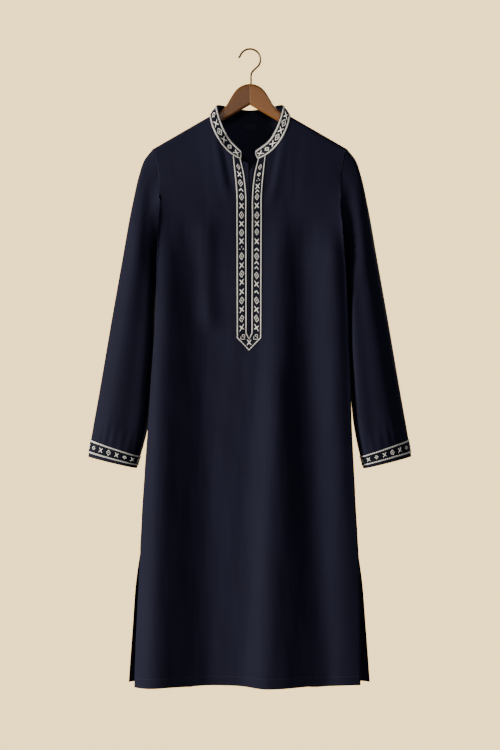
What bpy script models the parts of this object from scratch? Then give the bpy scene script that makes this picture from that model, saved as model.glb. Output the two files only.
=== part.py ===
"""A long kurta tunic with a band collar, hung on a wooden hanger.

Metres, +Z up.  The origin is the inside top of the hanger's hook, where a rail or a nail carries it.
X runs to the viewer's right, Y away from the viewer, so the front faces -Y.
Every panel is given by its outer surface, and its wall grows inwards from there.
"""

import math

import bpy
import numpy as np

# Walls and gaps
WALL = 0.0012  # body and sleeves
COLLAR_WALL = 0.0014
TRIM_WALL = 0.0010  # the embroidered bands
SEAM_GAP = 0.0003
TRIM_GAP = 0.0004  # a band and the cloth under it
LABEL_WALL = 0.0008

# Shoulder and neck
SHOULDER_SLOPE = math.radians(30.0)
NECK_Z = -0.1325  # the high point of each shoulder seam
NECK_HALF = 0.0805
TIP_HALF = 0.1940  # the shoulder seam's outer end
NECK_DROP = 0.0916  # from the shoulder seam down to the front of the neck
NECK_DROP_POWER = 1.25
BACK_NECK_DROP = 0.0065
BACK_NECK_RISE = 0.0030  # between the shoulder seam and the middle of the back
BACK_NECK_REACH = 0.0500
FOLD_RADIUS = 0.0072  # the cloth's turn over the hanger's arm
FRONT_DRAPE = 0.2000  # how far below the shoulder the front has its full depth
BACK_DRAPE = 0.0800
SECTION_POWER = 2.6
FOLD_REACH = 10  # a higher power carries the folds further out to the side
FOLD_TURN = math.radians(50.0)  # how far the side folds turn before they run in to the seam
SHOULDER_GAP = 0.0005  # each panel's shoulder edge from the seam's middle

# Placket
PLACKET_X = -0.0015
SLOT_BOTTOM = -0.5660
INNER_TIP = -0.5768
OUTER_TIP = -0.6019
OPENING_CLOSES = -0.2560

# Hanger
ARM_HALF_THICKNESS = 0.0053
ARM_DEPTH = 0.0190
ARM_TIP = 0.1850
WIRE_RADIUS = 0.0020
HOOK_RADIUS = 0.0210  # to the wire's middle
HOOK_START = math.radians(160.0)  # where the round part begins, by its turn from +X
HOOK_TURN = math.radians(195.0)
HOOK_TIP = (-0.0236, -0.0162)  # the wire's free end, turned a little outwards
HOOK_STEPS = 24
SHANK = ((0.0121, -0.0362), (0.0068, -0.0413), (0.0037, -0.0452), (0.0023, -0.0495), (0.0020, -0.0560))

NAVY = (0.016, 0.019, 0.042, 1.0)
THREAD = (0.62, 0.60, 0.54, 1.0)
LABEL = (0.008, 0.009, 0.016, 1.0)
WOOD = (0.30, 0.135, 0.045, 1.0)
BRASS = (0.32, 0.21, 0.09, 1.0)


def smooth(where, places, values):
    """A curve through (places, values), straight on past its ends, with the slopes of its neighbours."""
    where = np.asarray(where, float)
    slopes = np.gradient(values, places)
    cell = np.clip(np.searchsorted(places, where) - 1, 0, len(places) - 2)
    span = places[cell + 1] - places[cell]
    t = np.clip((where - places[cell]) / span, 0.0, 1.0)
    start = (1 + 2 * t) * (1 - t) ** 2 * values[cell] + t * (1 - t) ** 2 * slopes[cell] * span
    end = t * t * (3 - 2 * t) * values[cell + 1] + t * t * (t - 1) * slopes[cell + 1] * span
    return start + end


class Table:
    """Rows of sizes under named columns.  The first column says where each row applies."""

    def __init__(self, names, *rows):
        self.names = names.split()
        self.rows = np.array(sorted(rows))

    def at(self, name, where):
        return smooth(where, self.rows[:, 0], self.rows[:, self.names.index(name)])


# The body by height: the front's half width on each side, the side seam (which is the armhole's edge
# above the underarm), the y where the front turns round, the y of the front's and back's middle, and
# how much of the rounded section each uses.
BODY = Table(
    "height left right seam_x seam_y side_y front_y back_y front_reach back_reach",
    (-1.30, 0.2305, 0.2195, 0.2285, -0.018, -0.0285, -0.030, 0.030, 1.0, 1.0),
    (-1.20, 0.2275, 0.2190, 0.2235, -0.012, -0.0295, -0.031, 0.033, 1.0, 1.0),
    (-1.06, 0.2210, 0.2180, 0.2110, -0.004, -0.0275, -0.029, 0.034, 1.0, 1.0),
    (-0.90, 0.2130, 0.2095, 0.1970, 0.002, -0.0295, -0.026, 0.038, 1.0, 1.0),
    (-0.76, 0.2030, 0.2025, 0.1860, 0.003, -0.0310, -0.0255, 0.040, 1.0, 1.0),
    (-0.66, 0.1960, 0.1990, 0.1790, 0.003, -0.0320, -0.0235, 0.041, 1.0, 1.0),
    (-0.50, 0.1860, 0.1935, 0.1680, 0.002, -0.0330, -0.022, 0.043, 1.0, 1.0),
    (-0.41, 0.1845, 0.1880, 0.1650, 0.001, -0.0335, -0.020, 0.045, 1.0, 1.0),
    (-0.36, 0.1825, 0.1840, 0.1730, -0.010, -0.0330, -0.018, 0.046, 1.0, 0.98),
    (-0.30, 0.1805, 0.1810, 0.1795, -0.019, -0.0250, -0.018, 0.047, 1.0, 0.95),
    (-0.25, 0.1835, 0.1835, 0.1835, -0.019, -0.0140, -0.0215, 0.047, 1.0, 0.90),
    (-0.19, 0.1940, 0.1940, 0.1940, -0.019, -0.0080, -0.0300, 0.047, 0.75, 0.90),
)
UNDERARM = -0.410
SLIT_TOP = -0.900
FRONT_HEM = -1.2650
BACK_HEM = -1.2680
HEM_RISE = 0.10  # how far the front's hem sinks for each metre that a fold stands out
BACK_HEM_RISE = 0.0040  # the back's hem is this much higher in its middle
BACK_HEM_HALF = 0.24
SLIT_EDGE_Y = 0.0020  # the back's edge at the slit's top, and how it leans back below
SLIT_EDGE_LEAN = 0.03

# Below the slit's top the back spreads past the front on each side.
BACK_SPREAD = Table(
    "height left right",
    (-1.30, 0.2460, 0.2430),
    (-1.21, 0.2395, 0.2367),
    (-1.15, 0.2350, 0.2320),
    (-1.06, 0.2280, 0.2245),
    (-0.99, 0.2170, 0.2140),
    (-0.90, 0.1970, 0.1970),
)

# The front placket's edges, measured out from its middle.
PLACKET = Table(
    "height inner middle outer",
    (-1.30, 0.0053, 0.0154, 0.0254),
    (-0.34, 0.0053, 0.0154, 0.0254),
    (-0.29, 0.0056, 0.0157, 0.0257),
    (-0.25, 0.0100, 0.0196, 0.0290),
    (-0.21, 0.0178, 0.0258, 0.0338),
)

# Folds of the front: a ridge (or, below nought, a trough) from its top to its bottom.
FOLDS = (
    # x_top, z_top, x_bottom, z_bottom, width_top, width_bottom, height_top, height_bottom
    (-0.186, -0.35, -0.212, -1.27, 0.038, 0.080, 0.014, 0.043),
    (-0.087, -0.40, -0.078, -1.27, 0.045, 0.027, -0.008, -0.003),
    (0.064, -0.34, 0.053, -1.27, 0.033, 0.055, 0.014, 0.025),
    (0.044, -0.62, 0.023, -1.27, 0.025, 0.027, 0.004, 0.008),
    (0.078, -0.34, 0.159, -1.27, 0.045, 0.030, -0.007, -0.005),
    (0.169, -0.36, 0.195, -1.27, 0.030, 0.044, 0.019, 0.004),
    (-0.090, -0.33, -0.079, -0.56, 0.022, 0.018, 0.005, 0.008),
    (-0.070, -0.15, -0.047, -0.30, 0.010, 0.010, 0.006, 0.002),
    (-0.061, -0.17, -0.036, -0.28, 0.008, 0.008, -0.006, -0.002),
    (0.071, -0.15, 0.044, -0.31, 0.011, 0.011, 0.006, 0.002),
    (0.060, -0.17, 0.035, -0.29, 0.008, 0.008, -0.005, -0.002),
)
BACK_FOLDS = (
    (-0.070, -0.40, -0.082, -1.27, 0.030, 0.040, -0.003, -0.018),
    (0.060, -0.45, 0.082, -1.27, 0.030, 0.040, -0.003, -0.018),
    (-0.155, -0.50, -0.180, -1.27, 0.028, 0.034, 0.002, 0.010),
    (0.155, -0.50, 0.180, -1.27, 0.028, 0.034, 0.002, 0.010),
    (0.000, -0.20, 0.000, -0.60, 0.020, 0.020, 0.004, 0.002),
)

# The collar's top edge as moves from its seam, by the turn from the side of the neck (0) to the
# front end (negative) or the middle of the back (90), in degrees.
COLLAR_LEAN = Table(
    "turn inward back up",
    (-78.0, 0.0030, 0.0100, 0.0185),
    (-62.0, 0.0122, 0.0110, 0.0184),
    (-47.0, 0.0170, 0.0105, 0.0150),
    (-34.0, 0.0190, 0.0060, 0.0120),
    (-20.0, 0.0185, 0.0010, 0.0140),
    (-8.0, 0.0165, 0.0000, 0.0185),
    (-3.0, 0.0160, 0.0020, 0.0205),
    (0.0, 0.0155, 0.0020, 0.0210),
    (20.0, 0.0120, 0.0000, 0.0245),
    (45.0, 0.0070, 0.0000, 0.0265),
    (90.0, 0.0000, 0.0020, 0.0265),
)

RIGHT_END_LEAN = 0.0055  # how much further in the collar's right end leans at its top
COLLAR_SHARES = (0.0, 0.09, 0.5, 0.92, 1.0)
COLLAR_BAND_ROWS = slice(1, 4)  # the rows that the collar's band covers

# The sleeve by its share of the way from armhole (0) to cuff (1).
SLEEVE = Table(
    "share outer_x outer_z inner_x inner_z centre_y front_depth back_depth",
    (0.00, 0.1940, -0.199, 0.1655, -0.410, 0.010, 0.014, 0.024),
    (0.05, 0.2120, -0.221, 0.1725, -0.432, 0.009, 0.018, 0.025),
    (0.10, 0.2215, -0.247, 0.1810, -0.453, 0.008, 0.023, 0.026),
    (0.20, 0.2350, -0.306, 0.1895, -0.496, 0.006, 0.030, 0.027),
    (0.40, 0.2565, -0.425, 0.1935, -0.582, 0.004, 0.035, 0.028),
    (0.60, 0.2790, -0.553, 0.1995, -0.666, 0.003, 0.036, 0.029),
    (0.80, 0.3010, -0.682, 0.2070, -0.750, 0.003, 0.035, 0.029),
    (0.92, 0.3155, -0.763, 0.2170, -0.801, 0.004, 0.032, 0.028),
    (1.00, 0.3240, -0.813, 0.2262, -0.8365, 0.005, 0.029, 0.026),
)
SLEEVE_SHARES = (0.0, 0.03, 0.08, 0.16, 0.27, 0.40, 0.53, 0.66, 0.79, 0.89, 0.9450, 0.9875, 1.0)
CUFF_BORDER = (0.9450, 0.9875)  # shares of the sleeve that the cuff's band covers
SLEEVE_BLEND = 0.22  # by this share the sleeve has left the armhole's own curve
SLEEVE_SQUARE = 0.8  # below one, a squarer section than an ellipse
SLEEVE_TILT = {-1: 0.0, 1: 0.008}  # how far each sleeve's inner edge comes forward and outer edge goes back
SLEEVE_NEARER = {-1: 0.0045, 1: 0.0}  # how much nearer the body each inner edge hangs on the way down
NEARER_OVER = 0.25  # the shares at the top and the bottom over which that comes and goes
TILT_FROM = 0.08  # the share where the tilt starts
TILT_OVER = 0.30  # the share it takes to be full

# The hanger's crown: how far its top stands above the arms' straight top, by the distance from its middle.
CROWN = Table(
    "x above",
    (0.000, 0.0208),
    (0.005, 0.0231),
    (0.012, 0.0253),
    (0.020, 0.0262),
    (0.027, 0.0246),
    (0.034, 0.0195),
    (0.040, 0.0131),
    (0.046, 0.0060),
    (0.052, 0.0018),
    (0.062, 0.0000),
)
CROWN_END = 0.062

# Columns of the front on each side, by the turn of the neck's edge at their top and their x lower down.
FRONT_COLUMNS = (
    # turn, low_x
    (78.0, 0.0053),
    (72.0, 0.0154),
    (66.0, 0.0254),
    (57.0, 0.0400),
    (46.0, 0.0560),
    (34.0, 0.0690),
    (20.0, 0.0790),
    (8.0, 0.0850),
    (3.0, 0.0885),
    (0.0, 0.0910),
)
BACK_COLUMNS = (
    # turn, low_x
    (90.0, 0.0000),
    (70.0, 0.0280),
    (45.0, 0.0560),
    (20.0, 0.0780),
    (0.0, 0.0910),
)
SIDE_COLUMNS = 6  # from the last of those to the side seam

# Rows: close ones over the hanger's arm, then shares of the way down to the yoke, then level ones.
EDGE_ROWS = (0.0, 0.0011, 0.0042, 0.0083)
YOKE = -0.290
YOKE_SHARES = (0.14, 0.34, 0.56, 0.78, 1.0)
LEVEL_ROWS = (-0.325, -0.360, -0.385, -0.402, UNDERARM, -0.455, -0.510, SLOT_BOTTOM, -0.602, -0.660)
LEVEL_ROWS += (-0.730, -0.800, SLIT_TOP, -0.970, -1.040, -1.110, -1.180, -1.230)
ARMHOLE_ROWS = len(EDGE_ROWS) + len(YOKE_SHARES) + 5
SLOT_ROW = ARMHOLE_ROWS + 2


def ramp(t):
    t = np.clip(t, 0.0, 1.0)
    return t * t * (3 - 2 * t)


def shoulder_z(x):
    return NECK_Z - np.maximum(np.abs(x) - NECK_HALF, 0.0) * math.tan(SHOULDER_SLOPE)


def fold_height(folds, x, z):
    total = 0.0
    for x_top, z_top, x_bottom, z_bottom, width_top, width_bottom, height_top, height_bottom in folds:
        share = np.clip((z_top - z) / (z_top - z_bottom), 0.0, 1.0)
        middle = x_top + (x_bottom - x_top) * share
        half_width = width_top + (width_bottom - width_top) * share
        height = height_top + (height_bottom - height_top) * share
        fade_in = ramp((z_top + width_top - z) / (3 * width_top))
        fade_out = 1.0 if z_bottom < -1.2 else ramp((z - z_bottom + half_width) / (3 * half_width))
        total = total + height * fade_in * fade_out * np.exp(-(((x - middle) / half_width) ** 2))
    return total


def rounded(ratio):
    """A superellipse's height at this share of its half width."""
    return np.clip(1.0 - np.clip(ratio, 0.0, 1.0) ** SECTION_POWER, 0.0, 1.0) ** (1.0 / SECTION_POWER)


def over_arm(depth, full, drape, top_y=0.0, share=1.0):
    """The y of cloth that turns over the arm and then falls out to its full depth."""
    near = np.minimum(depth, FOLD_RADIUS)
    turn = share * np.sqrt(FOLD_RADIUS**2 - (FOLD_RADIUS - near) ** 2)
    falling = np.sin(np.clip(depth / drape, 0.0, 1.0) * math.pi / 2)
    return top_y + turn + (full - top_y - share * FOLD_RADIUS) * falling


def depth_below_shoulder(x, z):
    return np.maximum(shoulder_z(x) - z, 0.0) * math.cos(SHOULDER_SLOPE)


def front_half(x, z):
    return np.where(x < 0, BODY.at("left", z), BODY.at("right", z))


def front_y(x, z):
    """The front's outer surface between its two side folds."""
    ratio = np.abs(x) / front_half(x, z)
    side = BODY.at("side_y", z)
    full = side + (BODY.at("front_y", z) - side) * rounded(ratio * BODY.at("front_reach", z))
    full = full - fold_height(FOLDS, x, z) * (1.0 - ratio**FOLD_REACH)
    return -over_arm(depth_below_shoulder(x, z), -full, FRONT_DRAPE)


def back_half(x, z):
    spread = np.where(x < 0, BACK_SPREAD.at("left", z), BACK_SPREAD.at("right", z))
    return np.where(z < SLIT_TOP, spread, BODY.at("seam_x", z))


def back_edge_y(z):
    below = SLIT_EDGE_Y + SLIT_EDGE_LEAN * (SLIT_TOP - z)
    return np.where(z < SLIT_TOP, below, BODY.at("seam_y", z)) + SEAM_GAP


def back_neck_y(x):
    return BACK_NECK_REACH * np.sqrt(np.clip(1.0 - (x / NECK_HALF) ** 2, 0.0, 1.0))


def back_y(x, z):
    ratio = np.abs(x) / back_half(x, z)
    edge = np.where(z > UNDERARM, 0.0, back_edge_y(z))
    full = edge + (BODY.at("back_y", z) - edge) * rounded(ratio * BODY.at("back_reach", z))
    full = full + fold_height(BACK_FOLDS, x, z) * (1.0 - ratio**FOLD_REACH)
    share = np.clip(np.abs(x) / NECK_HALF, 0.0, 1.0)
    return over_arm(depth_below_shoulder(x, z), full, BACK_DRAPE, back_neck_y(x), share)


def along(path, share):
    """The point at this share of a path's length."""
    steps = np.linalg.norm(np.diff(path, axis=0), axis=1)
    length = np.concatenate([[0.0], np.cumsum(steps)])
    return np.array([np.interp(share * length[-1], length, column) for column in path.T])


def front_side_path(side, start, z):
    """From x = start out to the side fold, round it, and back in to the seam, at one height."""
    half = float(front_half(np.array(side * 1.0), z))
    out = start + (half - start) * np.sin(np.linspace(0.0, math.pi / 2, 25))
    front = np.column_stack([side * out, front_y(side * out, z)])
    seam_x = min(float(BODY.at("seam_x", z)), half)
    turn = np.linspace(0.0, FOLD_TURN, 13)[1:]
    edge_y = front[-1, 1]
    seam_y = max(float(BODY.at("seam_y", z)), edge_y)
    x = seam_x + (half - seam_x) * (np.cos(turn) - math.cos(FOLD_TURN)) / (1.0 - math.cos(FOLD_TURN))
    y = edge_y + (seam_y - edge_y) * np.sin(turn) / math.sin(FOLD_TURN)
    round_fold = np.column_stack([side * x, y])
    return np.concatenate([front, round_fold])


def back_side_path(side, start, z):
    half = float(back_half(np.array(side * 1.0), z))
    out = start + (half - start) * np.sin(np.linspace(0.0, math.pi / 2, 25))
    return np.column_stack([side * out, back_y(side * out, z)])


def row_heights(top, hem):
    """The heights of one column's rows, from its top edge to the hem."""
    edge = [top - depth for depth in EDGE_ROWS]
    yoke = [edge[-1] + (YOKE - edge[-1]) * share for share in YOKE_SHARES]
    return np.array(edge + yoke + list(LEVEL_ROWS) + [hem])


def front_hem(x):
    return FRONT_HEM - HEM_RISE * fold_height(FOLDS[:6], x, -1.27)


def back_hem(x):
    return BACK_HEM + BACK_HEM_RISE * (1.0 - (x / BACK_HEM_HALF) ** 2)


def neck_top(turn, front):
    """x and z of the neck's edge at this turn from the shoulder seam."""
    angle = math.radians(turn)
    x = NECK_HALF * math.cos(angle)
    if front:
        return x, NECK_Z - NECK_DROP * math.sin(angle) ** NECK_DROP_POWER
    return x, NECK_Z - BACK_NECK_DROP * math.sin(angle) ** 2 + BACK_NECK_RISE * math.sin(2 * angle)


def column_x(top_x, low_x, top, z):
    """A column leaves its place at the neck and has its own lower place by the yoke."""
    return low_x + (top_x - low_x) * (1.0 - ramp((top - z) / (top - YOKE)))


def spread(x, z, start=0.03):
    """Moves a column out as the body widens."""
    widening = BODY.at("left", z) / BODY.at("left", -0.41)
    return x * (1.0 + (widening - 1.0) * np.where(z < YOKE, ramp((x - start) / 0.06), 0.0))


def front_column(side, index):
    turn, low_x = FRONT_COLUMNS[index]
    top_x, top = neck_top(turn, True)
    z = row_heights(top, float(front_hem(side * low_x)))
    if index < 3:
        name = ("inner", "middle", "outer")[index]
        x = PLACKET.at(name, z)
        x[0] = top_x
    else:
        x = spread(column_x(top_x, low_x, top, z), z)
    x = side * x + PLACKET_X * (1.0 - ramp(x / 0.08))
    y = front_y(x, z) - SEAM_GAP / 2
    if turn == 0.0:
        y[0] = -SHOULDER_GAP
    return np.column_stack([x, y, z])


def back_column(side, index):
    turn, low_x = BACK_COLUMNS[index]
    top_x, top = neck_top(turn, False)
    z = row_heights(top, float(back_hem(side * low_x)))
    x = side * spread(column_x(top_x, low_x, top, z), z)
    y = back_y(x, z) + SEAM_GAP / 2
    if turn == 0.0:
        y[0] = SHOULDER_GAP
    return np.column_stack([x, y, z])


def side_columns(side, last, path_of, hem, away):
    """The columns from the last neck column to the armhole and the side seam; away is -1 or 1 along Y."""
    columns = []
    for step in range(1, SIDE_COLUMNS + 1):
        share = step / SIDE_COLUMNS
        top_x = NECK_HALF + (TIP_HALF - NECK_HALF) * share
        heights = row_heights(float(shoulder_z(top_x)), float(hem(side * 0.2 * share)))
        points = [(side * top_x, away * SHOULDER_GAP, heights[0])]
        for row, z in enumerate(heights[1:], start=1):
            x, y = along(path_of(side, abs(last[row, 0]), z), share)
            points.append((x, y + away * SEAM_GAP / 2, z))
        columns.append(np.array(points))
    return columns


def front_grid():
    """Rows and columns of the front, left side seam to right side seam."""
    halves = []
    for side in (-1, 1):
        neck = [front_column(side, index) for index in range(len(FRONT_COLUMNS))]
        sides = side_columns(side, neck[-1], front_side_path, front_hem, -1)
        halves.append(neck + sides)
    return np.stack(halves[0][::-1] + halves[1], axis=1)


def back_grid():
    halves = []
    for side in (-1, 1):
        neck = [back_column(side, index) for index in range(len(BACK_COLUMNS))]
        sides = side_columns(side, neck[-1], back_side_path, back_hem, 1)
        halves.append(neck + sides)
    return np.stack(halves[0][::-1] + halves[1][1:], axis=1)


def cell_normals(grid):
    across = grid[:-1, 1:] - grid[1:, :-1]
    down = grid[1:, 1:] - grid[:-1, :-1]
    normal = np.cross(across, down)
    return normal / np.linalg.norm(normal, axis=2, keepdims=True)


def moved_out(grid, distance):
    """The grid moved off its surface, so far that no cell of it comes nearer than the distance."""
    cells = np.pad(cell_normals(grid), ((1, 1), (1, 1), (0, 0)), mode="edge")
    around = np.stack([cells[:-1, :-1], cells[:-1, 1:], cells[1:, :-1], cells[1:, 1:]])
    normal = around.mean(axis=0)
    normal /= np.linalg.norm(normal, axis=2, keepdims=True)
    nearest = (around * normal).sum(axis=3, keepdims=True).min(axis=0)
    return grid + normal * distance / np.maximum(nearest, 0.75)


def material(name, colour, roughness, metallic=0.0):
    made = bpy.data.materials.new(name)
    made.use_nodes = True
    shader = made.node_tree.nodes["Principled BSDF"]
    shader.inputs["Base Color"].default_value = colour
    shader.inputs["Roughness"].default_value = roughness
    shader.inputs["Metallic"].default_value = metallic
    made.diffuse_color = colour
    return made


def sheet(name, grid, wall, made_of, wrap=False, skip=(), flip=False, even=False):
    """A cloth wall from a grid of points on its outer surface; skip names (row, column) cells left out."""
    rows, columns = grid.shape[:2]
    last = columns if wrap else columns - 1
    faces = []
    for row in range(rows - 1):
        for column in range(last):
            if (row, column) in skip:
                continue
            after = (column + 1) % columns
            here = row * columns
            below = here + columns
            face = (here + column, below + column, below + after, here + after)
            faces.append(face[::-1] if flip else face)
    mesh = bpy.data.meshes.new(name)
    mesh.from_pydata([tuple(point) for point in grid.reshape(-1, 3)], [], faces)
    mesh.materials.append(made_of)
    mesh.shade_smooth()
    obj = bpy.data.objects.new(name, mesh)
    solidify = obj.modifiers.new("wall", "SOLIDIFY")
    solidify.thickness = wall
    solidify.offset = -1.0
    solidify.use_even_offset = even
    return obj


def sleeve_grid(side, front, back):
    """Rings from the armhole's edge, which the sleeve follows a seam's gap away, to the cuff."""
    edge = 0 if side < 0 else -1
    rows = ARMHOLE_ROWS
    down = front[:rows, edge]
    back_edge = 0 if side < 0 else -1
    up = back[1 : rows - 1, back_edge][::-1]
    hole = np.concatenate([down, up])
    drop = (hole[0, 2] - hole[:, 2]) / (hole[0, 2] - UNDERARM)
    hole[:, 0] += side * SEAM_GAP * (1.5 + 2.5 * drop)
    hole[:, 1] += SEAM_GAP * 2.0 * drop
    angle = np.arccos(np.clip(1.0 - 2.0 * drop, -1.0, 1.0))
    forward = np.where(np.arange(len(hole)) < rows, -1.0, 1.0)
    rings = []
    for share in SLEEVE_SHARES:
        rings.append(sleeve_ring(side, share, angle, forward, hole))
    return np.stack(rings)


def sleeve_ring(side, share, angle, forward, hole):
    ellipse = sleeve_ellipse(side, share, angle, forward)
    first = sleeve_ellipse(side, 0.0, angle, forward)
    keep = (1.0 - np.clip(share / SLEEVE_BLEND, 0.0, 1.0)) ** 3
    return ellipse + (hole - first) * keep


def sleeve_ellipse(side, share, angle, forward):
    """Points round the sleeve: angle 0 at its outer edge, half a turn at its inner edge."""
    outer = np.array([SLEEVE.at("outer_x", share), SLEEVE.at("outer_z", share)])
    nearer = SLEEVE_NEARER[side] * float(ramp(share / NEARER_OVER) * ramp((1.0 - share) / NEARER_OVER))
    inner = np.array([SLEEVE.at("inner_x", share) - nearer, SLEEVE.at("inner_z", share)])
    middle = (outer + inner) / 2
    arm = (outer - inner) / 2
    x = side * (middle[0] + arm[0] * np.cos(angle))
    z = middle[1] + arm[1] * np.cos(angle)
    depth = np.where(forward < 0, SLEEVE.at("front_depth", share), SLEEVE.at("back_depth", share))
    tilt = SLEEVE_TILT[side] * float(ramp((share - TILT_FROM) / TILT_OVER))
    y = SLEEVE.at("centre_y", share) + forward * depth * np.sin(angle) ** SLEEVE_SQUARE + tilt * np.cos(angle)
    return np.column_stack([x, y, z])


def collar_grid(front, back):
    """The collar's outer face, from its seam up, left front end to right front end."""
    turns = [-turn for turn, _ in FRONT_COLUMNS] + [turn for turn, _ in BACK_COLUMNS[::-1]][1:]
    middle = front.shape[1] // 2
    count = len(FRONT_COLUMNS)
    centre = back.shape[1] // 2
    left = np.concatenate([front[0, middle - count : middle][::-1], back[0, centre - 3 : centre + 1]])
    right = np.concatenate([front[0, middle : middle + count], back[0, centre : centre + 4][::-1]])
    seams = np.concatenate([left, right[:-1][::-1]])
    turns = np.array(turns + turns[:-1][::-1], float)
    seams[np.isclose(turns, 0.0), 1] = 0.0
    sides = np.where(np.arange(len(turns)) < len(left), 1.0, -1.0)
    lean = [COLLAR_LEAN.at(name, turns) for name in ("inward", "back", "up")]
    longer = np.where(sides < 0, RIGHT_END_LEAN * ramp((-turns - 50.0) / 28.0), 0.0)
    lean = np.column_stack([sides * (lean[0] + longer), lean[1], lean[2]])
    lift = SEAM_GAP * 2.0 / np.linalg.norm(lean, axis=1)[:, None]
    rows = [seams + lean * (lift + (1.0 - lift) * share) for share in COLLAR_SHARES]
    return np.stack(rows)


def hanger_top(x):
    line = float(shoulder_z(NECK_HALF)) + (NECK_HALF - x) * math.tan(SHOULDER_SLOPE)
    line -= (FOLD_RADIUS - ARM_HALF_THICKNESS) / math.cos(SHOULDER_SLOPE)
    return line + (float(CROWN.at("above", x)) if x < CROWN_END else 0.0)


def hanger_bottom(x):
    line = hanger_top(ARM_TIP) + (ARM_TIP - x) * math.tan(SHOULDER_SLOPE)
    return line - ARM_DEPTH / math.cos(SHOULDER_SLOPE)


def arm_section(x, top, bottom):
    """The wood's outline across one place of an arm: two round edges joined by flat faces."""
    turn = np.radians([90.0, 60.0, 30.0, 0.0])
    y = ARM_HALF_THICKNESS * np.cos(turn)
    rise = ARM_HALF_THICKNESS / math.cos(SHOULDER_SLOPE) * (1.0 - np.sin(turn))
    scale = min(1.0, (top - bottom) / 2 / rise[-1])
    upper = np.column_stack([y, top - rise * scale])
    lower = np.column_stack([y, bottom + rise * scale])[::-1]
    one_face = np.concatenate([upper, lower])
    other_face = one_face[1:-1][::-1] * (-1.0, 1.0)
    ring = np.concatenate([one_face, other_face])
    return np.column_stack([np.full(len(ring), x), ring])


def arm(name, side, made_of):
    """One half of the hanger: rounded sections from the mitre in the middle out to a round tip."""
    places = [SEAM_GAP / 2, 0.006, 0.013, 0.020, 0.027, 0.034, 0.040, 0.046, 0.053, CROWN_END]
    places += [0.10, 0.14, ARM_TIP - 0.006]
    rings = [arm_section(x, hanger_top(x), hanger_bottom(x)) for x in places]
    for out, share in ((ARM_TIP - 0.002, 0.75), (ARM_TIP, 0.40)):
        middle = (hanger_top(out) + hanger_bottom(out)) / 2
        half = (hanger_top(out) - hanger_bottom(out)) / 2 * share
        ring = arm_section(out, middle + half, middle - half)
        ring[:, 1] *= 0.4 + 0.6 * share
        rings.append(ring)
    points = np.concatenate(rings) * (side, 1.0, 1.0)
    around = len(rings[0])
    faces = [tuple(range(around))[::-1], tuple(range(len(points) - around, len(points)))]
    for ring in range(len(rings) - 1):
        for step in range(around):
            here = ring * around + step
            after = ring * around + (step + 1) % around
            faces.append((here, after, after + around, here + around))
    if side > 0:
        faces = [face[::-1] for face in faces]
    mesh = bpy.data.meshes.new(name)
    mesh.from_pydata([tuple(point) for point in points], [], faces)
    mesh.materials.append(made_of)
    mesh.shade_smooth()
    return bpy.data.objects.new(name, mesh)


def hook(name, made_of):
    """A round wire hook whose inside top is the origin, and its shank down to the wood."""
    centre_z = WIRE_RADIUS - HOOK_RADIUS
    path = [HOOK_TIP]
    for step in range(HOOK_STEPS):
        angle = HOOK_START - HOOK_TURN * step / (HOOK_STEPS - 1)
        path.append((HOOK_RADIUS * math.cos(angle), centre_z + HOOK_RADIUS * math.sin(angle)))
    path += SHANK
    path.append((SHANK[-1][0], hanger_top(0.0) + SEAM_GAP))
    curve = bpy.data.curves.new(name, "CURVE")
    curve.dimensions = "3D"
    curve.bevel_depth = WIRE_RADIUS
    curve.bevel_resolution = 2
    curve.use_fill_caps = True
    spline = curve.splines.new("POLY")
    spline.points.add(len(path) - 1)
    for point, (x, z) in zip(spline.points, path):
        point.co = (x, 0.0, z, 1.0)
    curve.materials.append(made_of)
    return bpy.data.objects.new(name, curve)


def cuff_border(sleeve):
    """The band round the cuff, from the two sleeve rings that bound it."""
    first = SLEEVE_SHARES.index(CUFF_BORDER[0])
    rings = sleeve[first : first + 2]
    outward = rings - rings.mean(axis=1, keepdims=True)
    along_sleeve = (rings[1] - rings[0]).mean(axis=0)
    along_sleeve /= np.linalg.norm(along_sleeve)
    around = np.roll(rings, -1, axis=1) - np.roll(rings, 1, axis=1)
    normal = np.cross(around, along_sleeve)
    normal *= np.sign((normal * outward).sum(axis=2, keepdims=True))
    normal /= np.linalg.norm(normal, axis=2, keepdims=True)
    return rings + normal * (TRIM_GAP + TRIM_WALL)


def placket_border(front, side):
    """The band down one side of the opening and across to the point, from the front's own points."""
    middle = front.shape[1] // 2
    columns = [middle - 1 - step if side < 0 else middle + step for step in range(3)]
    leg = front[: SLOT_ROW + 1, columns].copy()
    inner_tip = (PLACKET_X, INNER_TIP)
    outer_tip = (PLACKET_X, OUTER_TIP)
    edge = side * SEAM_GAP / 2
    rows = []
    for share in (0.5, 1.0):
        inner_x = leg[-1, 0, 0] + (inner_tip[0] + edge - leg[-1, 0, 0]) * share
        inner_z = leg[-1, 0, 2] + (inner_tip[1] - leg[-1, 0, 2]) * share
        outer_x = leg[-1, 2, 0] + (outer_tip[0] + edge - leg[-1, 2, 0]) * share
        outer_z = INNER_TIP + (outer_tip[1] - INNER_TIP) * share
        x = np.array([inner_x, (inner_x + outer_x) / 2, outer_x])
        z = np.array([inner_z, (inner_z + outer_z) / 2, outer_z])
        rows.append(np.column_stack([x, front_y(x, z), z]))
    leg[-1, 1, 2] = (SLOT_BOTTOM + INNER_TIP) / 2
    leg[-1, 2, 2] = INNER_TIP
    grid = np.concatenate([leg, np.stack(rows)])
    grid[:, :, 1] -= TRIM_GAP + TRIM_WALL
    return grid


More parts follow.
